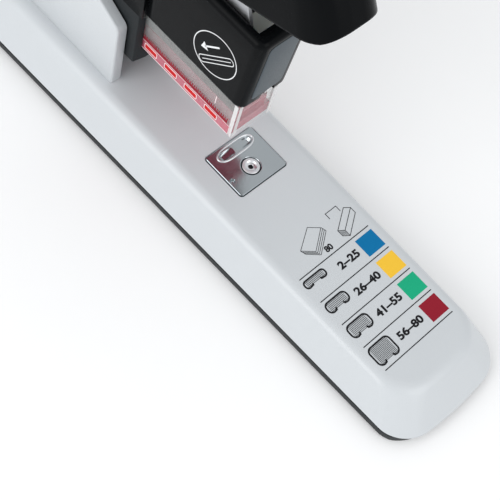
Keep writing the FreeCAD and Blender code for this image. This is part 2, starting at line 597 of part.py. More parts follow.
def make_lever_frame(handle_screws):
    """The steel lever with its pins: two sides under one web."""
    drive_y = "lever_y - (drive_radius ^ 2 - (driver_travel / 2) ^ 2) ^ 0.5"
    drive_place = (drive_y, "lever_z - driver_travel / 2")
    drive_pin = rod("drive_axle", "x", drive_place, "drive_pin_radius", ("-lever_outer - 0.7", "lever_outer + 0.7"))
    crossbar = rod("crossbar_rod", "x", ("crossbar_y", "crossbar_z"), "crossbar_radius",
                   ("-lever_outer", "lever_outer"))
    bore = rod("lever_bore", "x", LEVER, "lever_pin_radius + running_gap", ("-lever_outer - 1", "lever_outer + 1"))
    side_view = [("-0.5", "78"), ("0.5", "75.2"), ("5", "74.8"), ("lever_y", "83"), ("lever_y + 8.5", "87.5"),
                 ("lever_y + 14", WEB_TOP), ("-24", WEB_TOP), ("-24", "117.5"), ("0", "116.5"), ("0", "100"),
                 ("-1.4", "84")]
    sides = [plate(f"lever_side_{side}", side_view, span)
             for side, span in both_spans(("lever_inner", "lever_outer"))]
    web = block("lever_web", ("-lever_inner", "lever_inner"), ("-20", "lever_y + 10"),
                (f"{WEB_TOP} - web_steel", WEB_TOP))
    frame = cut("lever_channel", fuse("lever_blank", web, *sides), bore, drive_pin, crossbar, handle_screws)
    lifted(frame, "lever_frame")
    lifted(drive_pin, "drive_pin")
    lifted(mirrored_rings("drive_rings", drive_place, "drive_clip", "drive_pin_radius",
                          ("lever_outer", "lever_outer + drive_clip_width")), "drive_pin_clips")
    lifted(crossbar, "spring_crossbar")


def handle_form(name, side_view, inset, nose):
    """A handle form: its side view and its round-nosed plan, both drawn in by inset."""
    half = f"handle_half - {inset}"
    profile = plate(f"{name}_side", side_view, (f"-({half})", half))
    front, back = f"handle_front + {inset}", "handle_back + 5"
    plan = slab(f"{name}_plan", [(f"-({half})", front), (half, front), (half, back), (f"-({half})", back)],
                ("90", "140"))
    plan = rounded(f"{name}_nose", plan, nose, lambda edge: upright(edge) and edge.BoundBox.YMax < 0)
    return common(name, profile, plan)


def handle_crease(edge):
    """True for the handle's long upper edges."""
    box = edge.BoundBox
    return box.ZMin > 123.9 and box.XLength < 30 and box.YLength > 20


def make_handle(handle_screws):
    outer = [("handle_front", "110"), ("handle_front + 5", "handle_skirt"), ("lever_y", "handle_skirt"),
             ("handle_back", "118"), ("handle_back", "125"), ("handle_back - 8", "handle_top"),
             ("handle_front + 14", "handle_top"), ("handle_front", "124")]
    inner = [("handle_front + handle_wall", "100"), ("handle_back - handle_wall", "100"),
             ("handle_back - handle_wall", "124"), ("handle_back - 9", "handle_top - handle_wall"),
             ("handle_front + 15", "handle_top - handle_wall"), ("handle_front + handle_wall", "122.6")]
    outside = handle_form("handle_outside", outer, "0", SIZES["handle_nose"])
    inside = handle_form("handle_inside", inner, "handle_wall", SIZES["handle_nose"] - SIZES["handle_wall"])
    outside = rounded("handle_softened", outside, 2.5, handle_crease)
    bosses = rods_at("handle_bosses", HANDLE_SCREW_PLACES, "handle_boss", (WEB_TOP, "handle_top - handle_wall"))
    shell = fuse("handle_blank", cut("handle_hollow", outside, inside), bosses)
    lifted(cut("handle_shell", shell, handle_screws), "handle_cover")


def make_grip():
    """The soft pad on the handle."""
    pad = block("grip_blank", ("-grip_half", "grip_half"), ("handle_front + 16", "30"),
                ("handle_top", "handle_top + grip_thickness"))
    pad = rounded("grip_corners", pad, 9, lambda edge: edge.BoundBox.ZLength > 1)
    pad = rounded("grip_softened", pad, 1, edge_at("Z", SIZES["handle_top"] + SIZES["grip_thickness"]))
    lifted(pad, "handle_grip")


def make_lever():
    handle_screws = screws("grip_screws", "z", HANDLE_SCREW_PLACES, "handle_screw_head",
                           (f"{WEB_TOP} - 3.6", f"{WEB_TOP} - web_steel"), "handle_screw_shank",
                           (f"{WEB_TOP} - web_steel", "handle_top - 4"))
    make_lever_frame(handle_screws)
    lifted(handle_screws, "handle_screws")
    make_handle(handle_screws)
    make_grip()


# ---- driver ----

def make_driver():
    blade_back = "blade_front + blade_thickness"
    pin_height = "lever_z + driver_travel / 2"
    near = "lever_y - drive_radius"
    far = "lever_y - (drive_radius ^ 2 - (driver_travel / 2) ^ 2) ^ 0.5"
    middle = f"({near} + {far}) / 2"
    reach = "(drive_pin_radius + slot_play)"
    gap = "(drive_pin_radius + running_gap)"
    rivets = fuse("blade_rivets", *[rod(f"blade_rivet_{side}", "y", (x, "rivet_z"), "rivet_radius",
                                        ("blade_front", "rivet_back"))
                                    for side, x in (("right", "rivet_x"), ("left", "-rivet_x"))])
    node(rivets, "driver_rivets")
    core = block("carriage_core", ("-carriage_half", "carriage_half"), (blade_back, "carriage_back"),
                 ("carriage_bottom", "carriage_top"))
    wings = block("carriage_wings", ("-wing_half", "wing_half"), (blade_back, "carriage_back"),
                  ("carriage_bottom", "wing_top"))
    slot = block("carriage_slot", ("-carriage_half - 1", "carriage_half + 1"),
                 (f"{middle} - {reach}", f"{middle} + {reach}"), (f"{pin_height} - {gap}", f"{pin_height} + {gap}"))
    node(cut("carriage", fuse("carriage_blank", core, wings), slot, rivets), "driver_carriage")
    blade = block("blade_blank", ("-blade_half", "blade_half"), ("blade_front", blade_back),
                  ("blade_bottom", "blade_top"))
    node(cut("blade", blade, rivets), "driver_blade")


# ---- cartridge ----

RAIL_BACK = "(cartridge_back - 2)"
CORE_BACK = "(cartridge_back - 4)"
SHELL_FRONT = "(cartridge_front + 1.4)"
CHANNEL = (("-channel_half", "channel_half"), ("channel_front", "channel_back"))


def make_rail():
    """The red rail with the core that the staples straddle, and the nose in front of the driver's channel."""
    tray = block("rail_tray", ("-cartridge_half", "cartridge_half"), (SHELL_FRONT, RAIL_BACK),
                 ("cartridge_bottom", "rail_top"))
    core = block("rail_core", ("-core_half", "core_half"), ("channel_back", CORE_BACK), ("rail_top", "core_top"))
    exit_slot = block("rail_exit", *CHANNEL, ("cartridge_bottom - 1", "rail_top + 1"))
    node(cut("rail", fuse("rail_blank", tray, core), exit_slot), "cartridge_rail")
    node(block("nose_insert", ("-nose_half", "nose_half"), (SHELL_FRONT, "channel_front"), ("rail_top", "nose_top")),
         "cartridge_nose")


def make_housing():
    """The clear sleeve over the rail, and the cap that closes its back."""
    inner_half = "cartridge_half - cartridge_wall"
    front = block("housing_front", ("-cartridge_half", "cartridge_half"), ("cartridge_front", SHELL_FRONT),
                  ("cartridge_bottom", "cartridge_top"))
    sleeve = block("housing_sleeve", ("-cartridge_half", "cartridge_half"), (SHELL_FRONT, RAIL_BACK),
                   ("rail_top", "cartridge_top"))
    hollow = block("housing_hollow", (f"-({inner_half})", inner_half), (SHELL_FRONT, "cartridge_back"),
                   ("rail_top - 1", "cartridge_top - cartridge_wall"))
    entry = block("housing_entry", *CHANNEL, ("core_top", "cartridge_top + 1"))
    node(cut("housing", fuse("housing_blank", front, sleeve), hollow, entry), "cartridge_housing")

    plate_back = block("cap_plate", ("-cartridge_half", "cartridge_half"), (RAIL_BACK, "cartridge_back"),
                       ("cartridge_bottom", "cartridge_top"))
    plug = block("cap_plug", (f"-({inner_half}) + 0.1", f"{inner_half} - 0.1"), (CORE_BACK, RAIL_BACK),
                 ("rail_top", "cartridge_top - cartridge_wall - 0.1"))
    node(fuse("cap", plate_back, plug), "cartridge_cap")


def make_staples():
    """The strip of staples, the pusher behind it and the pusher's spring."""
    strip_span = ("channel_back + 0.1", "strip_back")
    outside = block("strip_outside", ("-staple_half", "staple_half"), strip_span, ("staple_tip", "staple_top"))
    inside = block("strip_inside", ("-staple_half + staple_wire", "staple_half - staple_wire"),
                   ("-5", "strip_back + 5"), ("staple_tip - 1", "staple_top - staple_wire"))
    node(cut("strip", outside, inside), "staple_strip")

    pusher_span = ("strip_back + 0.1", "strip_back + 0.1 + pusher_length")
    saddle = block("pusher_outside", ("-pusher_half", "pusher_half"), pusher_span, ("staple_tip", "staple_top + 0.4"))
    straddle = block("pusher_inside", ("-core_half - 0.3", "core_half + 0.3"), ("strip_back - 5", "cartridge_back"),
                     ("staple_tip - 1", "core_top + 0.3"))
    node(cut("pusher", saddle, straddle), "staple_pusher")
    node(tube("pusher_spring_tube", "y", ("core_half + 2.3", "pusher_spring_z"), "pusher_spring_outer",
              "pusher_spring_inner", (pusher_span[1], CORE_BACK)), "pusher_spring")


def make_cartridge():
    make_rail()
    make_housing()
    make_staples()


def make_latch():
    node(block("latch_tab", ("latch_left", "latch_right"), ("latch_front", "latch_back"),
               ("latch_bottom", "latch_top")), "latch_button")
    place = ("(latch_left + latch_right) / 2", "-latch_spring_y")
    node(tube("latch_spring_tube", "z", place, "latch_spring_outer", "latch_spring_inner",
              ("latch_top", "latch_stop")), "latch_spring")


def check_document():
    """Stop on any object that failed to build or has no sound solid."""
    for thing in doc.Objects:
        if {"Invalid", "Error"} & set(thing.State):
            raise RuntimeError(f"{thing.Name} failed: {thing.State}")
    for thing in NODES:
        if thing.Shape.isNull() or not thing.Shape.isValid() or not thing.Shape.Solids:
            raise RuntimeError(f"{thing.Label} has no valid solid")


def main():
    bracket_screws, column_screws = make_base()
    make_column(column_screws)
    make_hinge(bracket_screws)
    make_arm()
    make_lever()
    make_driver()
    make_cartridge()
    make_latch()
    doc.recompute()
    check_document()
    os.makedirs("parts", exist_ok=True)
    for thing in NODES:
        thing.Shape.exportStep(f"parts/{thing.Label}.step")
        box = thing.Shape.BoundBox
        print(f"{thing.Label:18s} solids {len(thing.Shape.Solids)} volume {thing.Shape.Volume:9.1f} "
              f"x {box.XMin:7.2f} {box.XMax:7.2f} y {box.YMin:7.2f} {box.YMax:7.2f} "
              f"z {box.ZMin:6.2f} {box.ZMax:6.2f}")


main()
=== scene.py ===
"""Looks of the heavy-duty stapler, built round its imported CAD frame.

Lengths here are millimetres, in the row frame, and become metres where a mesh is made.
"""
import json
import math

import bmesh
import bpy
from mathutils import Euler, Matrix, Vector


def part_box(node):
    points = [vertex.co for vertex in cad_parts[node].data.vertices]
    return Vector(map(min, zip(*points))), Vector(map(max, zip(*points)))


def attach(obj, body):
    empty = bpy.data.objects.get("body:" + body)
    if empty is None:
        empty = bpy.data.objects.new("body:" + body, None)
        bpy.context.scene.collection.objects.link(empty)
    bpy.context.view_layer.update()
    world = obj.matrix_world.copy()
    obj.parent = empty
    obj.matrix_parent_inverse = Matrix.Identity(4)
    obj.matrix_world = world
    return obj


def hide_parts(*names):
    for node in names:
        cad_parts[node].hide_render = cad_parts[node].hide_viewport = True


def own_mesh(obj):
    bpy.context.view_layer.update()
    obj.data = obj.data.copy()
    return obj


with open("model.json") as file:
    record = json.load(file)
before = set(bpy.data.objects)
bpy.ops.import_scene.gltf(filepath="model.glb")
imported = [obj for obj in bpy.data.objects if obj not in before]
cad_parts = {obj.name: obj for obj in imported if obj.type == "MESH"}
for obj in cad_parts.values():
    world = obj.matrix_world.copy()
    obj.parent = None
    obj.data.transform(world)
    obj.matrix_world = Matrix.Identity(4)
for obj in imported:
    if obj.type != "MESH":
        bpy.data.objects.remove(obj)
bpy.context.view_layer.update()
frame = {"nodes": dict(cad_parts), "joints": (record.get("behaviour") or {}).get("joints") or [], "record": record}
MM = 0.001
SEGMENTS = 8  # steps of a rounded crease or corner


# ---- places taken from the frame ----

def corners(node):
    """Lowest and highest corner of a CAD node at rest."""
    low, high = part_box(node)
    return low / MM, high / MM


def joint(name):
    return next(j for j in frame["joints"] if j["name"] == name)


BASE_HIGH = corners("base_shell")[1]
ANVIL_LOW, ANVIL_HIGH = corners("anvil_plate")
HEAD_LOW, HEAD_HIGH = corners("head_cover")
DECK = BASE_HIGH.z
FRONT_SETBACK = 1.2  # from the front of the sole's CAD box to the middle of the shell's front end
FRONT, REAR = corners("sole")[0].y + FRONT_SETBACK, BASE_HIGH.y


# ---- materials ----

def noise(nodes, links, coordinates, size):
    """A noise whose blobs are about size millimetres across."""
    texture = nodes.new("ShaderNodeTexNoise")
    texture.inputs["Scale"].default_value = 1 / (size * MM)
    texture.inputs["Detail"].default_value = 3.0
    links.new(coordinates, texture.inputs["Vector"])
    return texture.outputs["Fac"]


def spread(nodes, links, value, low, high):
    """The value, 0 to 1, spread over low to high."""
    span = nodes.new("ShaderNodeMapRange")
    span.inputs["From Min"].default_value = 0.3
    span.inputs["From Max"].default_value = 0.7
    span.inputs["To Min"].default_value = low
    span.inputs["To Max"].default_value = high
    links.new(value, span.inputs["Value"])
    return span.outputs["Result"]


def surface(name, colour, roughness, grain=0.35, depth=0.02, mottle=0.05, stretch=(1, 1, 1), **sockets):
    """A moulded, painted or metal surface: mottled colour, uneven gloss and a fine grain."""
    material = bpy.data.materials.new(name)
    material.use_nodes = True
    nodes, links = material.node_tree.nodes, material.node_tree.links
    shader = nodes["Principled BSDF"]
    for socket, value in sockets.items():
        shader.inputs[socket.replace("_", " ")].default_value = value
    place = nodes.new("ShaderNodeTexCoord")
    mapping = nodes.new("ShaderNodeMapping")
    mapping.inputs["Scale"].default_value = stretch
    links.new(place.outputs["Object"], mapping.inputs["Vector"])
    fine = noise(nodes, links, mapping.outputs["Vector"], grain)
    broad = noise(nodes, links, place.outputs["Object"], 14)
    tint = nodes.new("ShaderNodeMix")
    tint.data_type = "RGBA"
    tint.inputs["A"].default_value = [c * (1 - mottle) for c in colour] + [1]
    tint.inputs["B"].default_value = [min(1, c * (1 + mottle)) for c in colour] + [1]
    links.new(broad, tint.inputs["Factor"])
    links.new(tint.outputs["Result"], shader.inputs["Base Color"])
    links.new(spread(nodes, links, fine, roughness * 0.85, roughness * 1.15), shader.inputs["Roughness"])
    bump = nodes.new("ShaderNodeBump")
    bump.inputs["Strength"].default_value = 0.4
    bump.inputs["Distance"].default_value = depth * MM
    links.new(fine, bump.inputs["Height"])
    links.new(bump.outputs["Normal"], shader.inputs["Normal"])
    return material


BRUSHED = (1, 14, 14)
MATERIALS = {
    "white_plastic": surface("white_moulding", (0.575, 0.60, 0.62), 0.32, 0.5, 0.012, 0.012,
                             Coat_Weight=0.12, Coat_Roughness=0.2),
    "dark_grey_plastic": surface("dark_grey_moulding", (0.016, 0.019, 0.021), 0.5, 0.45, 0.05, 0.10,
                                 Specular_IOR_Level=0.2),
    "black_plastic": surface("black_moulding", (0.0035, 0.0040, 0.0046), 0.24, 0.6, 0.008, 0.08,
                             Specular_IOR_Level=0.055),
    "black_rubber": surface("black_rubber", (0.014, 0.014, 0.015), 0.75, 0.3, 0.08, 0.12,
                            Specular_IOR_Level=0.3),
    "zinc_steel": surface("zinc_plated_steel", (0.50, 0.51, 0.53), 0.34, 0.7, 0.012, 0.09, BRUSHED, Metallic=1),
    "polished_steel": surface("polished_steel", (0.42, 0.455, 0.475), 0.16, 0.5, 0.006, 0.05, BRUSHED,
                              Metallic=1),
    "dark_steel": surface("blackened_steel", (0.08, 0.08, 0.085), 0.38, 0.5, 0.01, 0.15, Metallic=1),
    "spring_steel": surface("spring_wire", (0.40, 0.41, 0.43), 0.28, 0.3, 0.008, 0.08, Metallic=1),
    "staple_wire": surface("galvanised_wire", (0.30, 0.33, 0.31), 0.32, 0.25, 0.01, 0.10, Metallic=1),
    "nylon": surface("nylon_moulding", (0.66, 0.65, 0.60), 0.42, 0.4, 0.015, 0.03, Subsurface_Weight=0.08),
    "red_plastic": surface("red_moulding", (0.42, 0.012, 0.022), 0.3, 0.5, 0.012, 0.06),
    "clear_plastic": surface("clear_moulding", (0.80, 0.84, 0.83), 0.10, 1.5, 0.01, 0.01, Alpha=0.16),
    "red_clear_plastic": surface("clear_red_moulding", (0.68, 0.16, 0.22), 0.16, 1.2, 0.02, 0.05, Alpha=0.64),
}
TRIM = {
    # black print ink; the anvil screw's socket also takes it as painted shade
    "black": surface("black_ink_and_socket_shade", (0.010, 0.010, 0.012), 0.55, 0.2, 0.004, 0.10, Specular_IOR_Level=0.15),
    "grey": surface("grey_ink", (0.10, 0.105, 0.11), 0.55, 0.2, 0.004, 0.06, Specular_IOR_Level=0.15),
    "white": surface("white_ink", (0.78, 0.79, 0.80), 0.55, 0.2, 0.004, 0.03, Specular_IOR_Level=0.15),
    "blue": surface("blue_ink", (0.000, 0.158, 0.37), 0.55, 0.2, 0.004, 0.05, Specular_IOR_Level=0.15),
    "yellow": surface("yellow_ink", (0.89, 0.54, 0.045), 0.55, 0.2, 0.004, 0.04, Specular_IOR_Level=0.15),
    "green": surface("green_ink", (0.010, 0.40, 0.205), 0.55, 0.2, 0.004, 0.05, Specular_IOR_Level=0.15),
    "red": surface("dark_red_ink", (0.275, 0.010, 0.024), 0.55, 0.2, 0.004, 0.06, Specular_IOR_Level=0.15),
    "window": surface("red_window", (0.58, 0.012, 0.012), 0.35, 0.3, 0.004, 0.10, Specular_IOR_Level=0.1),
    # pale pink for the rail's pale lines, and on the window frames a painted highlight
    "pale_lines_and_frame_highlight": surface("pale_edge_and_frame_highlight", (0.90, 0.72, 0.73), 0.3, 0.3, 0.004, 0.04),
    # the head panel is the cover's black plastic made lighter grey: a painted reflection of the front light
    "panel": surface("black_panel_painted_reflection", (0.062, 0.078, 0.090), 0.42, 0.5, 0.012, 0.05, Specular_IOR_Level=0.25),
    # turned steel of the anvil screw; on the clinch rim the same bright steel is a painted highlight
    "screw": surface("turned_steel_and_rim_highlight", (0.78, 0.79, 0.81), 0.33, 0.25, 0.006, 0.05, Metallic=1),
    "clear_edge": surface("clear_edge", (0.90, 0.89, 0.89), 0.15, 0.5, 0.004, 0.02, Alpha=0.62),
}


# ---- making pieces ----

def add_piece(name, mesh, body, material, slot=None, stands_for=()):
    piece = bpy.data.objects.new(name, mesh)
    bpy.context.scene.collection.objects.link(piece)
    mesh.materials.clear()
    mesh.materials.append(material)
    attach(piece, body)
    if stands_for:
        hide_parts(*stands_for)
    return piece


def face_outwards(work):
    """Turn an open sheet's faces round if they look inwards."""
    middle = sum((v.co for v in work.verts), Vector()) / len(work.verts)
    if sum(f.calc_area() * f.normal.dot(f.calc_center_median() - middle) for f in work.faces) < 0:
        bmesh.ops.reverse_faces(work, faces=work.faces)


def sort_faces(work):
    """Put the faces in an order that is the same each run, which triangulation alone doesn't give."""
    work.verts.index_update()
    count = len(work.verts)

    def order(face):
        first, second, third = sorted(v.index for v in face.verts)[:3]
        return (first * count + second) * count + third

    work.faces.sort(key=order)


def finished_mesh(name, work, sharp):
    """The bmesh as a shaded mesh, with its normals outwards and its edges over sharp degrees kept crisp."""
    bmesh.ops.remove_doubles(work, verts=work.verts, dist=0.002 * MM)
    bmesh.ops.dissolve_degenerate(work, edges=work.edges, dist=0.001 * MM)
    bmesh.ops.recalc_face_normals(work, faces=work.faces)
    face_outwards(work)
    sort_faces(work)
    mesh = bpy.data.meshes.new(name)
    work.to_mesh(mesh)
    work.free()
    mesh.polygons.foreach_set("use_smooth", [True] * len(mesh.polygons))
    mesh.set_sharp_from_angle(angle=math.radians(sharp))
    return mesh


def mesh_of(name, parts, sharp=35):
    """One mesh from several (points, faces) parts, given in millimetres."""
    work = bmesh.new()
    for points, faces in parts:
        placed = [work.verts.new(Vector(p) * MM) for p in points]
        for face in faces:
            work.faces.new([placed[i] for i in face])
    return finished_mesh(name, work, sharp)


def piece(name, parts, body, slot, stands_for=(), sharp=35):
    """A piece of the object in the finish of its slot."""
    return add_piece(name, mesh_of(name, parts, sharp), body, MATERIALS[slot], slot, stands_for)


def bevelled(node, width, body, slot):
    """A CAD node's own shape with its edges rounded, in place of the node."""
    flat_angle, edge_angle, smooth_angle = math.radians(1), math.radians(28), 25
    work = bmesh.new()
    work.from_mesh(frame["nodes"][node].data)
    bmesh.ops.remove_doubles(work, verts=work.verts, dist=0.004 * MM)
    bmesh.ops.dissolve_limit(work, angle_limit=flat_angle, verts=work.verts, edges=work.edges)
    edges = [e for e in work.edges if len(e.link_faces) == 2 and e.calc_face_angle(0) > edge_angle]
    bmesh.ops.bevel(work, geom=edges, offset=width * MM, segments=2, profile=0.5, affect="EDGES",
                    clamp_overlap=True)
    bmesh.ops.triangulate(work, faces=[f for f in work.faces if len(f.verts) > 4])
    mesh = finished_mesh(f"{node}_rounded", work, smooth_angle)
    return add_piece(f"{node}_rounded", mesh, body, MATERIALS[slot], slot, [node])


def thicken(shell, wall):
    """Give an open sheet its wall, on the inside."""
    solid = shell.modifiers.new("wall", "SOLIDIFY")
    solid.thickness = wall * MM
    solid.offset = -1
    solid.use_even_offset = False


def loft(rings, closed_ring=True, low_cap=False, high_cap=False, closed_path=False):
    """Quads between rings that all have the same number of points."""
    count, points, faces = len(rings[0]), [p for ring in rings for p in ring], []
    steps = len(rings) if closed_path else len(rings) - 1
    for r in range(steps):
        low, high = r * count, (r + 1) % len(rings) * count
        for i in range(count if closed_ring else count - 1):
            j = (i + 1) % count
            faces.append((low + i, low + j, high + j, high + i))
    if low_cap:
        faces.append(tuple(reversed(range(count))))
    if high_cap:
        faces.append(tuple(range(len(points) - count, len(points))))
    return points, faces


def round_corner(before, corner, after, radius, steps=SEGMENTS):
    """The points of an arc that rounds a flat corner."""
    corner, before, after = Vector(corner), Vector(before), Vector(after)
    one, two = (before - corner).normalized(), (after - corner).normalized()
    half = one.angle(two) / 2
    centre = corner + (one + two).normalized() * radius / math.sin(half)
    start, end = corner + one * radius / math.tan(half), corner + two * radius / math.tan(half)
    arm, turn = start - centre, (start - centre).angle_signed(end - centre)
    return [centre + Matrix.Rotation(-turn * i / steps, 2) @ arm for i in range(steps + 1)]


def rounded_ring(points, radii, steps=SEGMENTS):
    """A flat closed outline with each corner rounded by its own radius."""
    ring = []
    for i, (point, radius) in enumerate(zip(points, radii)):
        before, after = points[i - 1], points[(i + 1) % len(points)]
        ring += round_corner(before, point, after, radius, steps) if radius else [Vector(point)]
    return ring


def with_straights(ring, arc_steps):
    """A rounded ring of four corners, with each straight between two arcs divided."""
    straight_steps = 16
    dense = []
    for i, (here, ahead) in enumerate(zip(ring, ring[1:] + ring[:1])):
        steps = straight_steps if (i + 1) % (arc_steps + 1) == 0 else 1
        dense += [here.lerp(ahead, k / steps) for k in range(steps)]
    return dense


def rectangle(left, right, low, high):
    return [(left, low), (right, low), (right, high), (left, high)]


def grid(columns, rows, place):
    """Quads over the points that place(column, row) gives, and the indices of their border in order."""
    points = [place(column, row) for row in range(rows + 1) for column in range(columns + 1)]
    wide = columns + 1
    starts = [row * wide + column for row in range(rows) for column in range(columns)]
    faces = [(low, low + 1, low + wide + 1, low + wide) for low in starts]
    border = (list(range(columns)) + [row * wide + columns for row in range(rows)]
              + [rows * wide + k for k in range(columns, 0, -1)] + [row * wide for row in range(rows, 0, -1)])
    return points, faces, border


def lathe(profile, centre, segments=40):
    """A form turned about an upright axis: profile holds (radius, height) pairs and is closed at both ends."""
    rings = []
    for radius, height in profile:
        ring = []
        for i in range(segments):
            angle = 2 * math.pi * i / segments
            u, v = max(radius, 0.001) * math.cos(angle), max(radius, 0.001) * math.sin(angle)
            ring.append(Vector(centre) + Vector((u, v, height)))
        rings.append(ring)
    return loft(rings, low_cap=True, high_cap=True)


def hex_recess_head(centre, radius, height, sign):
    """A low domed screw head with a hexagonal recess, which faces left or right by the sign."""
    recess, depth = 0.52, 0.55
    hexagon = [math.cos(math.pi / 6) / math.cos((a % 60 - 30) * math.pi / 180) for a in range(0, 360, 10)]
    levels = [(1.0, 0.0, 0), (1.0, 0.55, 0), (0.93, 0.85, 0), (0.8, 1.0, 0), (recess + 0.06, 1.0, 0),
              (recess, 0.94, 1), (recess, 1.0 - depth, 1), (0.0, 0.9 - depth, 1)]
    rings = []
    for share, level, six_sided in levels:
        ring = []
        for i, shape in enumerate(hexagon):
            angle = math.radians(10 * i)
            reach = max(radius * share, 0.01) * (shape if six_sided else 1)
            local = Vector((sign * level * height, reach * math.cos(angle), reach * math.sin(angle)))
            ring.append(Vector(centre) + local)
        rings.append(ring)
    return loft(rings, low_cap=True, high_cap=True)


def tube(path, radius, sides=8, closed=False):
    """A round wire along a path of points."""
    rings, previous = [], None
    for i, point in enumerate(path):
        ahead = path[(i + 1) % len(path)] if closed or i + 1 < len(path) else point
        behind = path[i - 1] if closed or i else point
        along = (Vector(ahead) - Vector(behind)).normalized()
        side = previous - along * previous.dot(along) if previous else along.orthogonal()
        side.normalize()
        up = along.cross(side)
        rings.append([Vector(point) + radius * (math.cos(a) * side + math.sin(a) * up)
                      for a in (2 * math.pi * k / sides for k in range(sides))])
        previous = side
    return loft(rings, low_cap=not closed, high_cap=not closed, closed_path=closed)


# ---- base: shell, sole, feet ----

LOW_HALF_FRONT, LOW_HALF_REAR, TOP_HALF_FRONT, TOP_HALF_REAR = 33.6, 40.8, 25.7, 27.8
FRONT_SLOPE, REAR_SLOPE = 15, 4  # how far the ends lean in to the deck
BOW, CORNER = 3.2, 15
SEAM_FRONT, SEAM_REAR = 4.6, 4.3


def parting(y):
    """Height of the seam between sole and shell."""
    return SEAM_FRONT + (SEAM_REAR - SEAM_FRONT) * (y - FRONT) / (REAR - FRONT)


def plan_outline(half_front, half_rear, front, rear):
    """The base seen from above: it widens to the rear, and its front end is bowed."""
    arc_steps = 14
    ring = rounded_ring([(-half_front, front), (half_front, front), (half_rear, rear), (-half_rear, rear)],
                        [CORNER, CORNER, CORNER * 0.8, CORNER * 0.8], arc_steps)
    dense = with_straights(ring, arc_steps)
    for point in dense:
        reach = max(0, 1 - (point.y - front) / (CORNER * 3)) ** 2
        point.y += BOW * (point.x / half_front) ** 2 * reach
    return dense


BOTTOM = plan_outline(LOW_HALF_FRONT, LOW_HALF_REAR, FRONT, REAR)
TOP = plan_outline(TOP_HALF_FRONT, TOP_HALF_REAR, FRONT + FRONT_SLOPE, REAR - REAR_SLOPE)


def on_side(i, height):
    """The shell's side above point i of the outline: it leans in from the seam to the deck."""
    seam = parting(BOTTOM[i].y)
    flat = BOTTOM[i].lerp(TOP[i], (height - seam) / (DECK - seam))
    return Vector((flat.x, flat.y, height))


def inward(ring, i, distance):
    """Point i of a flat ring, moved to the inside."""
    along = (ring[(i + 1) % len(ring)] - ring[i - 1]).normalized()
    return ring[i] + Vector((-along.y, along.x)) * distance


def filled_between(outer, inner, height):
    """A flat face at a height between an outer ring and a hole."""
    work = bmesh.new()
    edges = []
    for ring in (outer, inner):
        placed = [work.verts.new((p[0], p[1], height)) for p in ring]
        edges += [work.edges.new((a, b)) for a, b in zip(placed, placed[1:] + placed[:1])]
    bmesh.ops.triangle_fill(work, edges=edges, use_beauty=True, normal=(0, 0, 1))
    work.verts.index_update()
    points = [v.co.copy() for v in work.verts]
    faces = [tuple(v.index for v in f.verts) for f in work.faces]
    work.free()
    return points, faces


def build_base_shell():
    """A closed shell: outer sides, soft crease, deck with the anvil's recess, and the inside."""
    crease, wall = 4.0, 2.5
    edge_wall, edge_gap, edge_lip = 2.2, 0.25, 0.35
    count = len(BOTTOM)

    def inner_ring(ring, distance, height):
        moved = [inward(ring, i, distance) for i in range(count)]
        return [Vector((p.x, p.y, height(ring[i].y))) for i, p in enumerate(moved)]

    def edge(y):
        return parting(y) + edge_gap

    rings = [inner_ring(TOP, crease + wall, lambda y: DECK - wall),
             inner_ring(TOP, wall, lambda y: DECK - 2 * wall),
             inner_ring(BOTTOM, wall + 1.2, edge),
             inner_ring(BOTTOM, edge_wall, edge),
             [on_side(i, edge(BOTTOM[i].y) + edge_lip) for i in range(count)]]
    for share in (0.4, 0.7):
        rings.append([on_side(i, DECK * share) for i in range(count)])
    for k in range(SEGMENTS + 1):
        share = k / SEGMENTS
        ring = []
        for i in range(count):
            top = Vector((TOP[i].x, TOP[i].y, DECK))
            down = (on_side(i, parting(BOTTOM[i].y)) - top).normalized()
            start, end = top + down * crease, inward(TOP, i, crease)
            end = Vector((end.x, end.y, DECK))
            ring.append(start.lerp(top, share).lerp(top.lerp(end, share), share))
        rings.append(ring)
    gap, hole_corner, soft = 0.35, 1.8, 0.25
    hole = rounded_ring(rectangle(ANVIL_LOW.x - gap, ANVIL_HIGH.x + gap, ANVIL_LOW.y - gap, ANVIL_HIGH.y + gap),
                        [hole_corner] * 4)
    rim = [inward(hole, i, -soft) for i in range(len(hole))]
    recess = [[(p.x, p.y, DECK) for p in rim], [(p.x, p.y, DECK - soft) for p in hole],
              [(p.x, p.y, DECK - wall) for p in hole]]
    deck = filled_between(rings[-1], rim, DECK)
    inside = filled_between(rings[0], hole, DECK - wall)
    piece("base_shell_moulding", [loft(rings), deck, loft(recess), inside], "base", "white_plastic",
          ["base_shell"], sharp=40)


def build_sole():
    """The dark sole is a plumb band under the shell, and the shell hides it at the front end."""
    inset, soft, into_shell = 0.25, 0.6, 0.15
    front_tuck, tuck_reach = 1.8, 10
    sole_low = corners("sole")[0].z
    rings = []
    for height, draw in ((sole_low, inset + soft), (sole_low + soft, inset), (None, inset)):
        ring = []
        for i, point in enumerate(BOTTOM):
            level = parting(point.y) + into_shell if height is None else height
            tucked = front_tuck * max(0, 1 - (point.y - FRONT) / tuck_reach)
            flat = inward(BOTTOM, i, draw + tucked)
            ring.append(Vector((flat.x, flat.y, level)))
        rings.append(ring)
    piece("sole_moulding", [loft(rings, low_cap=True, high_cap=True)], "base", "dark_grey_plastic", ["sole"],
          sharp=50)


def build_feet():
    """Four round pads with a hollow sole and soft edges."""
    low, high = corners("rubber_feet")
    height = high.z - low.z
    profile = [(0, 0.5), (3.2, 0.5), (3.6, 0.15), (4.2, 0), (5.2, 0), (5.8, 0.4), (6, height), (0, height)]
    parts = [lathe(profile, (x, y, low.z)) for x, y in ((21, -124), (-21, -124), (26, 124), (-26, 124))]
    piece("foot_pads", parts, "base", "black_rubber", ["rubber_feet"])


# ---- anvil ----

CLINCH_Y = -1.8


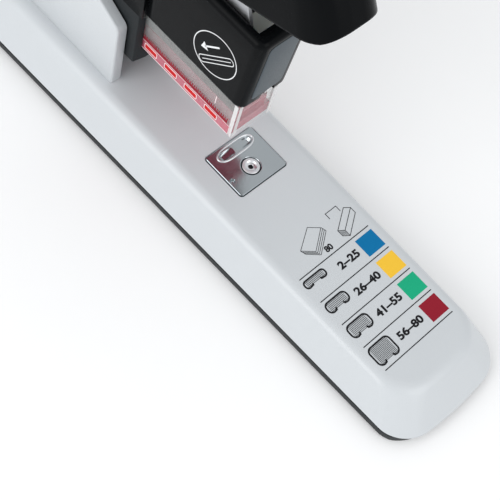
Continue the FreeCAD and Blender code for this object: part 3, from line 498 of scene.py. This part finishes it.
def trough_depth(x, y):
    """Depth of the two clinch troughs: deepest where a staple's leg lands, and rising to the middle."""
    half_width, deepest = 1.9, 1.5
    depth = 0
    for low, high in ((-8.6, -0.9), (0.9, 9.4)):
        along = (x - low) / (high - low)
        if 0 < along < 1:
            outer = along if low < 0 else 1 - along
            fall = min(1, outer * 6) * (1 - outer) ** 0.8
            width = half_width * math.sqrt(max(0, 1 - (2 * along - 1) ** 6))
            across = max(0, 1 - (abs(y - CLINCH_Y) / max(width, 0.01)) ** 4)
            depth = max(depth, deepest * fall * across)
    return depth


def build_anvil_plate():
    """A stamped plate with two clinch troughs, a dimple and the seat of its screw."""
    cell, corner, edge = 0.22, 1.6, 0.35
    dimple_x, dimple_y, dimple_radius, dimple_depth = -11.9, -13.5, 1.15, 1.2
    seat_y, seat_radius, seat_depth = -12.6, 4.7, 1.3
    centre = (ANVIL_LOW + ANVIL_HIGH) / 2
    half_x, half_y = (ANVIL_HIGH.x - ANVIL_LOW.x) / 2, (ANVIL_HIGH.y - ANVIL_LOW.y) / 2
    columns, rows = round(2 * half_x / cell), round(2 * half_y / cell)

    def height(x, y):
        near = min(half_x - abs(x), half_y - abs(y - centre.y))
        roll = edge * (1 - min(1, near / edge)) ** 2
        dimple = dimple_depth * max(0, 1 - (math.hypot(x - dimple_x, y - dimple_y) / dimple_radius) ** 6)
        seat = seat_depth * max(0, 1 - (math.hypot(x, y - seat_y) / seat_radius) ** 10)
        return ANVIL_HIGH.z - roll - trough_depth(x, y) - dimple - seat

    def place(column, row):
        x, y = (2 * column / columns - 1) * half_x, (2 * row / rows - 1) * half_y
        into_x, into_y = abs(x) - (half_x - corner), abs(y) - (half_y - corner)
        if into_x > 0 and into_y > 0 and math.hypot(into_x, into_y) > corner:
            pull = corner / math.hypot(into_x, into_y)
            x = math.copysign(half_x - corner + into_x * pull, x)
            y = math.copysign(half_y - corner + into_y * pull, y)
        return Vector((x, y + centre.y, height(x, y + centre.y)))

    points, faces, border = grid(columns, rows, place)
    first = len(points)
    points += [Vector((points[i].x, points[i].y, ANVIL_LOW.z)) for i in border]
    for k in range(len(border)):
        ahead = (k + 1) % len(border)
        faces.append((border[ahead], border[k], first + k, first + ahead))
    faces.append(tuple(reversed(range(first, len(points)))))
    piece("anvil_stamping", [(points, faces)], "base", "polished_steel", ["anvil_plate"], sharp=60)


def build_clinch_rim():
    """A raised boat-shaped rim round the two troughs, drawn in a brighter steel than the plate as a painted
    highlight.
    """
    middle_x, half_long, half_short, wire, steps = 0.4, 10.2, 3.1, 0.42, 72
    path = []
    for k in range(steps):
        turn = 2 * math.pi * k / steps
        along = math.copysign(math.sqrt(abs(math.cos(turn))), math.cos(turn))
        path.append((middle_x + half_long * along, CLINCH_Y + half_short * math.sin(turn), ANVIL_HIGH.z + 0.02))
    ridge = mesh_of("clinch_rim", [tube(path, wire, 10, closed=True)], 60)
    # the rim takes the brighter screw steel, not the plate's: painted highlight
    add_piece("clinch_rim", ridge, "base", TRIM["screw"], "polished_steel")


def build_anvil_screw():
    """A turned countersunk screw with a round socket, and a black disk in the socket as painted shade."""
    low, high = corners("anvil_screw")
    place = ((low.x + high.x) / 2, (low.y + high.y) / 2, 0)
    top, shank, head, socket = high.z + 0.05, 2, 4.0, 1.15
    profile = [(0, low.z), (shank, low.z), (shank, top - 2.2), (3.95, top - 0.3), (head, top - 0.1),
               (3.85, top), (2.75, top), (2.65, top - 0.08), (2.3, top - 0.4), (1.5, top - 0.75),
               (socket + 0.1, top - 0.75), (socket, top - 0.85), (socket, top - 3.2), (0, top - 3.3)]
    screw = mesh_of("anvil_screw_turned", [lathe(profile, place, segments=56)], 24)
    add_piece("anvil_screw_turned", screw, "base", TRIM["screw"], "polished_steel", ["anvil_screw"])
    # a black disk part way down the socket: painted shade in the hollow
    shade_disk_profile = [(0, top - 1.3), (socket + 0.05, top - 1.3), (socket + 0.05, top - 1.1), (0, top - 1.1)]
    floor = mesh_of("anvil_screw_socket_painted_shade", [lathe(shade_disk_profile, place)], 30)
    add_piece("anvil_screw_socket_painted_shade", floor, "base", TRIM["black"], "dark_steel")


# ---- printing on the base ----

INK = 0.05  # how far print stands out of the face, and how far it goes in


def flat_on_deck(u, v, level):
    return Vector((u, v, DECK + level))


def flat_on_head_side(u, v, level):
    return Vector((HEAD_LOW.x - level, u, v))


def printed_area(ring, lay):
    """A printed patch inside a flat ring, as a thin closed solid."""
    low = [lay(p[0], p[1], -INK) for p in ring]
    high = [lay(p[0], p[1], INK) for p in ring]
    return loft([low, high], low_cap=True, high_cap=True)


def stroke(path, width, lay, closed=False):
    """A printed line of one width along a flat path."""
    path = [Vector(p) for p in path]
    left, right = [], []
    for i, point in enumerate(path):
        ahead = path[(i + 1) % len(path)] if closed or i + 1 < len(path) else None
        behind = path[i - 1] if closed or i else None
        forward = (ahead - point).normalized() if ahead else (point - behind).normalized()
        backward = (point - behind).normalized() if behind else forward
        normal = Vector((-(forward + backward).y, (forward + backward).x)).normalized()
        stretch = 1 / max(0.4, normal.dot(Vector((-forward.y, forward.x))))
        left.append(point + normal * width / 2 * stretch)
        right.append(point - normal * width / 2 * stretch)
    rings = [[lay(a.x, a.y, INK), lay(b.x, b.y, INK), lay(b.x, b.y, -INK), lay(a.x, a.y, -INK)]
             for a, b in zip(left, right)]
    return loft(rings, low_cap=not closed, high_cap=not closed, closed_path=closed)


def printed(name, parts, ink, body="base"):
    return add_piece(name, mesh_of(name, parts, 60), body, TRIM[ink])


def number(text, left, right, low, height, name):
    """A bold number that fills the room it is given, as a printed solid."""
    curve = bpy.data.curves.new(name, "FONT")
    curve.body = text
    curve.size = 1.0
    curve.extrude = 1.0
    curve.offset = 0.040
    curve.resolution_u = 4
    holder = bpy.data.objects.new(f"{name}_text", curve)
    bpy.context.scene.collection.objects.link(holder)
    bpy.context.view_layer.update()
    mesh = bpy.data.meshes.new_from_object(holder)
    bpy.data.objects.remove(holder)
    spots = [v.co for v in mesh.vertices]
    first, last = min(c.x for c in spots), max(c.x for c in spots)
    bottom, top = min(c.y for c in spots), max(c.y for c in spots)
    scale = Matrix.Diagonal(((right - left) / (last - first) * MM, height / (top - bottom) * MM, INK * MM, 1))
    shift = Matrix.Translation(Vector((left, low, DECK)) * MM)
    mesh.transform(shift @ scale @ Matrix.Translation((-first, -bottom, 0)))
    return add_piece(name, mesh, "base", TRIM["black"])


LINE_Y, PITCH, LINE_HALF = -66.0, 13.0, 21.4
STACKS = ((3.6, "2–25", -3.3, "blue"), (5.0, "26–40", -6.3, "yellow"), (6.3, "41–55", -6.3, "green"),
          (9.0, "56–80", -6.3, "red"))  # height, sheets, left end of the number, colour
MARKS_ORIGIN = Vector((-21.54, LINE_Y))


def stack_mark(line, height):
    """A paper stack in the grip of a staple: hatched block, outline open below with curled ends."""
    left, right, top = -21.5, -9.5, line - 1.9
    low = top - height
    round_by, curl = min(2.2, height * 0.42), min(1.2, height * 0.28)
    start, end = left + 3.3, left + 8.7
    outline = rounded_ring([(right, low), (right, top), (left, top), (left, low)], [round_by] * 4, 6)
    path = [(end - 0.5, low + curl), (end - 0.2, low + 0.25)] + [tuple(p) for p in outline]
    path += [(start + 0.2, low + 0.25), (start + 0.5, low + curl)]
    inset, gap, shorter = 0.75, 0.62, 0.2
    rows = max(2, int((height - 2 * inset) / gap) + 1)
    lines = []
    for row in range(rows):
        y = low + inset + (height - 2 * inset) * row / (rows - 1)
        lines.append(stroke([(left + inset + shorter, y), (right - inset - shorter, y)], 0.34, flat_on_deck))
    return stroke(path, 0.8, flat_on_deck), lines


def build_scale():
    """Staple-length guide: five lines, four stacks with their sheet numbers and colours."""
    black, grey = [], []
    for k in range(len(STACKS) + 1):
        y = LINE_Y - PITCH * k
        black.append(stroke([(-LINE_HALF, y), (LINE_HALF, y)], 0.44, flat_on_deck))
    for k, (height, sheets, left, ink) in enumerate(STACKS):
        line = LINE_Y - PITCH * k
        outline, hatch = stack_mark(line, height)
        black.append(outline)
        grey += hatch
        number(sheets, left, 8.7, line - 8.2, 3.9, f"print_number_{k + 1}")
        patch = rectangle(11.0, 21.2, line - 11.2, line - 1.9)
        printed(f"print_patch_{ink}", [printed_area(patch, flat_on_deck)], ink)
    number("80", -2.5, 1.6, LINE_Y + 1.6, 3.1, "print_paper_weight")
    sheets_mark(black)
    staple_marks(black, grey)
    printed("print_black", black, "black")
    printed("print_grey", grey, "grey")


def sheets_mark(black):
    """Four loose sheets in a pile: the top one whole, and the edges of three below it."""
    step, line = Vector((0.25, -0.85)), 0.24
    corners_of_top = ((20.5, 16), (25.2, 12.2), (15.4, 5.3), (10.2, 9.6))
    back, right, front, left = [Vector(p) + MARKS_ORIGIN for p in corners_of_top]
    black.append(stroke([back, right, front, left], line, flat_on_deck, closed=True))
    for sheet in range(1, 4):
        shift, above = step * sheet, step * (sheet - 1)
        black.append(stroke([right + above + Vector((step.x, 0)), right + shift, front + shift, left + shift,
                             left + above], line, flat_on_deck))


def staple_marks(black, grey):
    """A single staple above a bar of them."""
    wire, line = 0.32, 0.3
    staple = ((31.5, 12.8), (31.5, 15.8), (38.1, 15.8), (38.1, 12.8))
    black.append(stroke([Vector(p) + MARKS_ORIGIN for p in staple], wire, flat_on_deck))
    top = [Vector(p) + MARKS_ORIGIN for p in ((30.2, 6.5), (40.3, 13.1), (43, 11.2), (33, 4.7))]
    drop = Vector((0, -3.1))
    foot = top[3] + drop * 1.05
    black.append(stroke(top, line, flat_on_deck, closed=True))
    black.append(stroke([top[0], top[0] + drop, foot, top[2] + drop, top[2]], line, flat_on_deck))
    black.append(stroke([top[3], foot], line, flat_on_deck))
    for k in range(1, 6):
        near = top[0].lerp(top[3], k / 6)
        grey.append(stroke([near + Vector((0, -0.4)), near + drop * 0.9], 0.22, flat_on_deck))


# ---- column, hinge ----

def build_column():
    bevelled("column_left", 0.5, "base", "white_plastic")
    bevelled("column_right", 0.5, "base", "white_plastic")
    bevelled("column_back", 0.3, "base", "white_plastic")
    bevelled("hinge_bracket", 0.3, "base", "zinc_steel")


# ---- springs ----

def coil(centre, axis, low, high, radius, wire, turns):
    """A closed-end compression spring along an axis."""
    steps = 18
    total = round(turns * steps)
    path = []
    for k in range(total + 1):
        share = k / total
        rise = share - 0.55 * math.sin(2 * math.pi * share) / (2 * math.pi)
        place = low + wire + (high - low - 2 * wire) * rise
        angle = 2 * math.pi * k / steps
        u, v = radius * math.cos(angle), radius * math.sin(angle)
        local = {"z": (u, v, place), "y": (u, place, v)}[axis]
        path.append(Vector(centre) + Vector(local))
    return tube(path, wire, 8)


def build_springs():
    springs = (("arm_spring", "base", "z", 7, 0.7, 7, "arm_pivot", 0.56, "low"),
               ("driver_spring", "arm", "z", 4.5, 0.45, 9, "lever_pivot", 0.455, "low"),
               ("pusher_spring", "cartridge", "y", 2, 0.25, 14, "pusher_slide", 0.28, "high"),
               ("latch_spring", "arm", "z", 0.95, 0.16, 7, "latch_slide", 0.75, "high"))
    for node, body, axis, outer, wire, turns, moved_by, keep, fixed in springs:
        low, high = corners(node)
        middle = (low + high) / 2
        index = "xyz".index(axis)
        centre = middle.copy()
        centre[index] = 0
        parts = [coil(centre, axis, low[index], high[index], outer - wire, wire, turns)]
        spring = piece(f"{node}_coil", parts, body, "spring_steel", [node], sharp=80)
        anchor = middle.copy()
        anchor[index] = low[index] if fixed == "low" else high[index]
        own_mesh(spring)


# ---- arm: head cover, rear cover, tray ----

CUT_OUT_EDGES = (-2.6, -1.9, 1.15, 1.3, 5.3, 5.45)  # across the lip in front


def head_front(z):
    """The head's front face leans forward to the top."""
    lean = 2.25
    return -7.05 - lean * (z - HEAD_LOW.z) / (HEAD_HIGH.z - HEAD_LOW.z)


def head_path(z, draw=0.0):
    """The head's outline from above at one height, open at the back.

    Its points keep their order at every height.
    """
    corner, arc_steps, side_steps = 4.6, 10, 12
    half, back, front = HEAD_HIGH.x - draw, HEAD_HIGH.y, head_front(z) + draw
    turn = max(0.4, corner - draw)
    left = round_corner((-half, back), (-half, front), (half, front), turn, arc_steps)
    right = round_corner((-half, front), (half, front), (half, back), turn, arc_steps)
    sides = [back - (back - front - corner) * k / side_steps for k in range(side_steps)]
    path = [Vector((-half, y)) for y in sides] + left
    path += [Vector((-half + turn + 0.6, front))] + [Vector((x, front)) for x in CUT_OUT_EDGES]
    path += [Vector((half - turn - 0.6, front))] + right + [Vector((half, y)) for y in reversed(sides)]
    return path


def head_edge(point):
    """Height of the cover's lower edge: level on the sides, a lip with two cut-outs in front."""
    side_edge, lip = 73.3, HEAD_LOW.z
    if point.y > head_front(lip) + 0.05:
        reach = min(1, max(0, (point.y - head_front(lip)) / 4.6))
        return lip + 0.6 + (side_edge - lip - 0.6) * reach ** 0.7
    if -2.2 < point.x < 1.2:
        return lip + 2.4
    if 1.25 < point.x < 5.4:
        return lip + 3.4
    return lip if abs(point.x) < 8.5 else lip + 0.6


def build_head():
    """The head's cover: straight sides, a round crown, and an open slot behind for the lever."""
    wall, crown, slot_half, slot_front = 1.8, 3.2, 10.2, -3.0
    base_path = head_path(HEAD_LOW.z)
    edges = [head_edge(p) for p in base_path]
    rings = [[Vector((p.x, p.y, edge)) for p, edge in zip(base_path, edges)]]
    for share in (0.02, 0.2, 0.4, 0.6, 0.8, 1.0):
        ring = []
        for k, edge in enumerate(edges):
            z = edge + (HEAD_HIGH.z - crown - edge) * share
            flat = head_path(z)[k]
            ring.append(Vector((flat.x, flat.y, z)))
        rings.append(ring)
    for k in range(1, SEGMENTS + 1):
        angle = math.pi / 2 * k / SEGMENTS
        z = HEAD_HIGH.z - crown + crown * math.sin(angle)
        draw = crown * (1 - math.cos(angle))
        rings.append([Vector((p.x, p.y, z)) for p in head_path(z, draw)])
    last = []
    for p in head_path(HEAD_HIGH.z, crown):
        x = max(-slot_half, min(slot_half, p.x * slot_half / (HEAD_HIGH.x - crown)))
        last.append(Vector((x, max(p.y, slot_front), HEAD_HIGH.z)))
    rings.append(last)
    shell = piece("head_cover_moulding", [loft(rings, closed_ring=False)], "arm", "black_plastic",
                  ["head_cover"], sharp=50)
    thicken(shell, wall)


def build_head_panel():
    """A shallow raised panel on the head's front, with rounded corners, coloured lighter grey than the black cover
    as a painted reflection.
    """
    low, high, half = HEAD_LOW.z + 3.6, HEAD_HIGH.z - 4.5, 8.6
    ring = rounded_ring(rectangle(-half, half, low, high), [2.6] * 4, 8)
    middle = Vector((0, (low + high) / 2))
    rings = []
    for out, draw in ((-0.3, 0), (0.12, 0), (0.28, 0.25)):
        drawn = [middle + (p - middle) * (1 - draw / half) for p in ring]
        rings.append([Vector((p.x, head_front(p.y) - out, p.y)) for p in drawn])
    panel = mesh_of("head_front_panel", [loft(rings, low_cap=True, high_cap=True)], 30)
    # the panel's lighter grey stands in for reflected front light: painted reflection
    add_piece("head_front_panel", panel, "arm", TRIM["panel"], "dark_grey_plastic")


def oval(centre, half_long, half_short, tilt, steps=44):
    ring = []
    for k in range(steps):
        angle = 2 * math.pi * k / steps
        u, v = half_long * math.cos(angle), half_short * math.sin(angle)
        ring.append((centre[0] + u * math.cos(tilt) - v * math.sin(tilt),
                     centre[1] + u * math.sin(tilt) + v * math.cos(tilt)))
    return ring


def loading_sign(lay):
    """A strip of staples in an oval, with an arrow."""
    middle, tilt = Vector((11, 89)), math.radians(-42)
    along = Vector((math.cos(tilt), math.sin(tilt)))
    across = Vector((-along.y, along.x))
    parts = [stroke(oval(middle, 12.5, 10.6, tilt), 0.42, lay, closed=True)]
    strip = middle + across * -2.2 + along * 0.5
    loop = rounded_ring([strip + along * a + across * b for a, b in rectangle(-11, 11, -1.7, 1.7)],
                        [1.6] * 4, 6)
    parts.append(stroke(loop, 0.36, lay, closed=True))
    parts.append(stroke([strip - along * 9.5, strip + along * 9.0], 0.3, lay))
    arrow = middle + across * 3.6
    parts.append(stroke([arrow - along * 5, arrow + along * 4.2], 0.8, lay))
    tip = [arrow + along * 7, arrow + along * 3.6 + across * 2.1, arrow + along * 3.6 - across * 2.1]
    parts.append(printed_area(tip, lay))
    return parts


def build_pictogram():
    """A plain loading sign on both sides of the head."""
    printed("pictogram_left", loading_sign(flat_on_head_side), "white", "arm")
    printed("pictogram_right", loading_sign(lambda u, v, level: Vector((HEAD_HIGH.x + level, u, v))), "white",
            "arm")


def build_arm():
    build_head()
    build_head_panel()
    build_pictogram()
    bevelled("arm_cover", 0.35, "arm", "black_plastic")
    bevelled("arm_tray", 0.5, "arm", "dark_grey_plastic")
    bevelled("arm_frame", 0.2, "arm", "zinc_steel")
    bevelled("driver_guide", 0.2, "arm", "zinc_steel")
    outer = corners("cover_screws")[1].x
    parts = []
    for y, z, half in ((43, 93, HEAD_HIGH.x), (62, 79, outer), (104, 79, outer)):
        for sign in (-1, 1):
            parts.append(hex_recess_head((sign * (half - 1.6), y, z), 2.6, 1.45, sign))
    piece("cover_screw_heads", parts, "arm", "dark_steel", ["cover_screws"])


# ---- lever and its handle, shaped pressed down and lifted to rest ----

def lift(shaped):
    """Turn a piece that was shaped pressed down about the lever's pivot to where it rests."""
    lever = joint("lever_pivot")
    pivot = Vector(lever["pos_m"])
    angle = math.radians(lever["range_deg"][1])
    turn = Matrix.Translation(pivot) @ Matrix.Rotation(-angle, 4, "X") @ Matrix.Translation(-pivot)
    shaped.data.transform(turn)


HANDLE = {"half": 17.2, "front": -46.0, "back": 104.0, "top": 131.0, "skirt": 107.0}


def handle_outline(draw_side, draw_front, draw_back, nose):
    arc_steps, heel = 12, 5
    half = HANDLE["half"] - draw_side
    front, back = HANDLE["front"] + draw_front, HANDLE["back"] - draw_back
    ring = rounded_ring(rectangle(-half, half, front, back), [nose, nose, heel, heel], arc_steps)
    return with_straights(ring, arc_steps)


def handle_skirt(y):
    """Lower edge of the handle: lifted a little at the nose and more at the back."""
    if y > 80:
        return HANDLE["skirt"] + 11 * ((y - 80) / 24) ** 1.3
    if y < -40:
        return HANDLE["skirt"] + 3 * ((-40 - y) / 6) ** 1.5
    return HANDLE["skirt"]


def build_handle():
    """The handle's cover: leaning sides, a soft crease and a flat top."""
    crease, wall, top_z = 5.5, 2.3, HANDLE["top"]
    low = handle_outline(0, 0, 0, 14)
    high = handle_outline(1.6, 6, 4, 12.5)
    count = len(low)

    def up_side(i, share):
        flat = low[i].lerp(high[i], share)
        base = handle_skirt(low[i].y)
        return Vector((flat.x, flat.y, base + (top_z - base) * share))

    rings = [[up_side(i, share) for i in range(count)] for share in (0, 0.03, 0.3, 0.55)]
    for k in range(SEGMENTS + 1):
        share = k / SEGMENTS
        ring = []
        for i in range(count):
            top = Vector((high[i].x, high[i].y, top_z))
            down = (up_side(i, 0) - top).normalized()
            inner = inward(high, i, crease)
            end = Vector((inner.x, inner.y, top_z))
            ring.append((top + down * crease).lerp(top, share).lerp(top.lerp(end, share), share))
        rings.append(ring)
    shell = piece("handle_cover_moulding", [loft(rings, high_cap=True)], "lever", "black_plastic",
                  ["handle_cover"], sharp=40)
    lift(shell)
    thicken(shell, wall)


def build_grip():
    """A soft pad let into the handle, with ribs across the finger end."""
    half, front, back, top, thick = 13.0, HANDLE["front"] + 16, 30.0, HANDLE["top"], 2.0
    round_end, edge_radius, sunk = 9, 1.2, 0.3
    rib_pitch, rib_height, rib_margin, rib_length = 3, 0.45, 6, 42
    rows, columns = 120, 40

    def place(column, row):
        y = front + (back - front) * (row / rows)
        across = 2 * column / columns - 1
        ends = min(1, (y - front) / round_end, (back - y) / round_end)
        width = half - round_end * (1 - math.sqrt(max(0, 1 - (1 - ends) ** 2)))
        x = across * width
        edge = min(width * (1 - abs(across)), y - front, back - y)
        roll = math.sqrt(max(0, 1 - (1 - min(1, edge / edge_radius)) ** 2))
        ribbed = abs(x) < half - 3 and front + rib_margin < y < front + rib_length
        wave = 0.5 + 0.5 * math.cos(2 * math.pi * (y - front) / rib_pitch) if ribbed else 0
        return Vector((x, y, top - sunk + (thick + sunk - rib_height * (1 - wave)) * roll))

    points, faces, border = grid(columns, rows, place)
    faces.append(tuple(reversed(border)))
    lift(piece("handle_grip_pad", [(points, faces)], "lever", "black_rubber", ["handle_grip"], sharp=60))


def build_lever():
    build_handle()
    build_grip()
    bevelled("lever_frame", 0.2, "lever", "zinc_steel")


# ---- cartridge ----

def build_cartridge():
    bevelled("cartridge_housing", 0.35, "cartridge", "clear_plastic")
    bevelled("cartridge_rail", 0.3, "cartridge", "red_clear_plastic")
    bevelled("cartridge_nose", 0.3, "cartridge", "red_clear_plastic")
    bevelled("cartridge_cap", 0.6, "cartridge", "red_plastic")
    bevelled("staple_pusher", 0.4, "pusher", "dark_grey_plastic")
    bevelled("latch_button", 0.25, "latch", "dark_grey_plastic")
    build_staples()
    build_windows()


def build_staples():
    """A glued strip of staples, each an upside-down U of flat wire."""
    low, high = corners("staple_strip")
    wire, pitch, wire_share, crown, arc_steps = 0.7, 0.9, 0.74, 0.35, 3
    half = high.x
    outer = rounded_ring(rectangle(-half, half, low.z, high.z), [0, 0, crown, crown], arc_steps)
    inner = rounded_ring(rectangle(wire - half, half - wire, low.z, high.z - wire),
                         [0, 0, 0.05, 0.05], arc_steps)
    outer = outer[1:] + outer[:1]
    inner = inner[1:] + inner[:1]
    parts = []
    for k in range(int((high.y - low.y) / pitch)):
        near = low.y + k * pitch
        far = near + pitch * wire_share
        rings = [[Vector((a.x, near, a.y)), Vector((a.x, far, a.y)), Vector((b.x, far, b.y)),
                  Vector((b.x, near, b.y))] for a, b in zip(outer, inner)]
        parts.append(loft(rings, low_cap=True, high_cap=True))
    piece("staple_wires", parts, "cartridge", "staple_wire", ["staple_strip"], sharp=30)


def sight_windows(rail, lay):
    """Seven windows low on the rail, and the raised frame round each, drawn pale pink as a painted highlight."""
    first, pitch, length, count = 4.2, 12.7, 7.6, 7
    windows, frames = [], []
    for k in range(count):
        start = first + pitch * k
        ring = rounded_ring(rectangle(start, start + length, rail + 2.0, rail + 5.0), [0.5] * 4, 4)
        windows.append(printed_area(ring, lay))
        # the frame's pale pink is a painted highlight round the window
        frames.append(stroke(ring, 0.35, lambda u, v, level: lay(u, v, level * 3), closed=True))
    return windows, frames


def comb_teeth(front, back, low, high, tooth_top, lay):
    """A strip from front to back, with a row of fine teeth up from it."""
    pitch, tooth = 1.2, 0.55
    parts = [printed_area(rectangle(front, back, low, high), lay)]
    for k in range(int((back - front) / pitch)):
        y = front + pitch * k
        parts.append(printed_area(rectangle(y, y + tooth, high, tooth_top), lay))
    return parts


def build_windows():
    """On both sides of the cartridge: red sight windows, a comb above them, pale lines and clear edges."""
    low, high = corners("cartridge_housing")
    rail = corners("cartridge_rail")[0].z
    front, back = low.y + 4, high.y - 12
    line_front, line_low, strip_low = low.y + 1.2, rail + 0.5, rail + 6.3
    edge_low, edge_high = rail + 0.4, high.z - 0.5
    red, pale_lines_and_frame_highlight, comb, clear = [], [], [], []
    for side in (-1, 1):
        def lay(u, v, level, side=side):
            return Vector((side * (high.x + level), u, v))

        windows, frames = sight_windows(rail, lay)
        red += windows
        pale_lines_and_frame_highlight += frames
        comb += comb_teeth(front, back, strip_low, rail + 8.0, rail + 9.6, lay)
        pale_lines_and_frame_highlight.append(stroke([(line_front, line_low), (back, line_low)], 0.4, lay))
        pale_lines_and_frame_highlight.append(stroke([(line_front, strip_low - 0.3), (back, strip_low - 0.3)], 0.25, lay))
        pale_lines_and_frame_highlight.append(stroke([(7, rail + 11.2), (7, rail + 16.2)], 0.4, lay))
        clear.append(printed_area(rectangle(low.y + 0.5, low.y + 2.4, edge_low, edge_high), lay))
        clear.append(printed_area(rectangle(side * (high.x - 2.3), side * (high.x - 0.5), edge_low, edge_high),
                                  lambda u, v, level: Vector((u, low.y - level, v))))
    for name, parts, trim, slot in (("rail_windows", red, "window", "red_plastic"),
                                    ("rail_window_frames", pale_lines_and_frame_highlight, "pale_lines_and_frame_highlight", "red_clear_plastic"),
                                    ("rail_comb", comb, "red", "red_plastic"),
                                    ("housing_edges", clear, "clear_edge", "clear_plastic")):
        add_piece(name, mesh_of(name, parts, 40), "cartridge", TRIM[trim], slot)


# ---- materials of the CAD nodes that stay ----

def dress_frame():
    """Give each CAD node that is shown the finish of its own slot."""
    for part in frame["record"]["subparts"]:
        node = frame["nodes"].get(part["node"])
        if node is not None:
            node.data.materials.clear()
            node.data.materials.append(MATERIALS[part["material_slot"]])


# ---- floor, light and camera ----

def make_stage():
    floor_mesh = bpy.data.meshes.new("floor")
    reach = 3.0
    floor_mesh.from_pydata([(x, y, 0) for x, y in rectangle(-reach, reach, -reach, reach)], [], [(0, 1, 2, 3)])
    floor = bpy.data.objects.new("floor", floor_mesh)
    bpy.context.scene.collection.objects.link(floor)
    floor_mesh.materials.append(surface("floor_white", (0.97, 0.97, 0.97), 0.7, 2.0, 0.01, 0.004))


def soft_light(name, place, power):
    """A square soft light that looks at the object; places here are metres."""
    light = bpy.data.lights.new(name, "AREA")
    light.shape = "RECTANGLE"
    light.size = light.size_y = 0.9
    light.energy = power
    holder = bpy.data.objects.new(name, light)
    bpy.context.scene.collection.objects.link(holder)
    holder.location = place
    holder.rotation_mode = "QUATERNION"
    holder.rotation_quaternion = (Vector((0, 0, 0.03)) - Vector(place)).to_track_quat("-Z", "Y")


def make_light():
    world = bpy.data.worlds.new("studio")
    world.use_nodes = True
    background = world.node_tree.nodes["Background"]
    background.inputs["Color"].default_value = (0.97, 0.985, 1.0, 1)
    background.inputs["Strength"].default_value = 0.80
    bpy.context.scene.world = world
    soft_light("key_softbox", (0.15, -1.2, 0.75), 4.5)
    soft_light("side_softbox", (-1.15, 0.2, 0.62), 7)
    bpy.context.scene.view_settings.view_transform = "Standard"


def make_camera():
    """The reference view: from the user's left, steep, with the camera rolled."""
    azimuth, elevation, roll = math.radians(62.61), math.radians(61.4), math.radians(22.1)
    target, distance = Vector((-28.4, -42.5, DECK)) * MM, 484.6 * MM
    camera = bpy.data.cameras.new("camera")
    camera.lens, camera.sensor_width = 82.46, 36.0
    holder = bpy.data.objects.new("camera", camera)
    bpy.context.scene.collection.objects.link(holder)
    forward = Vector((math.sin(azimuth) * math.cos(elevation), math.cos(azimuth) * math.cos(elevation),
                      -math.sin(elevation)))
    holder.rotation_mode = "QUATERNION"
    holder.rotation_quaternion = forward.to_track_quat("-Z", "Y") @ Euler((0, 0, roll)).to_quaternion()
    holder.location = target - forward * distance
    bpy.context.scene.camera = holder


dress_frame()
build_base_shell()
build_sole()
build_feet()
build_anvil_plate()
build_clinch_rim()
build_anvil_screw()
build_scale()
build_column()
build_springs()
build_arm()
build_lever()
build_cartridge()
make_stage()
make_light()
make_camera()
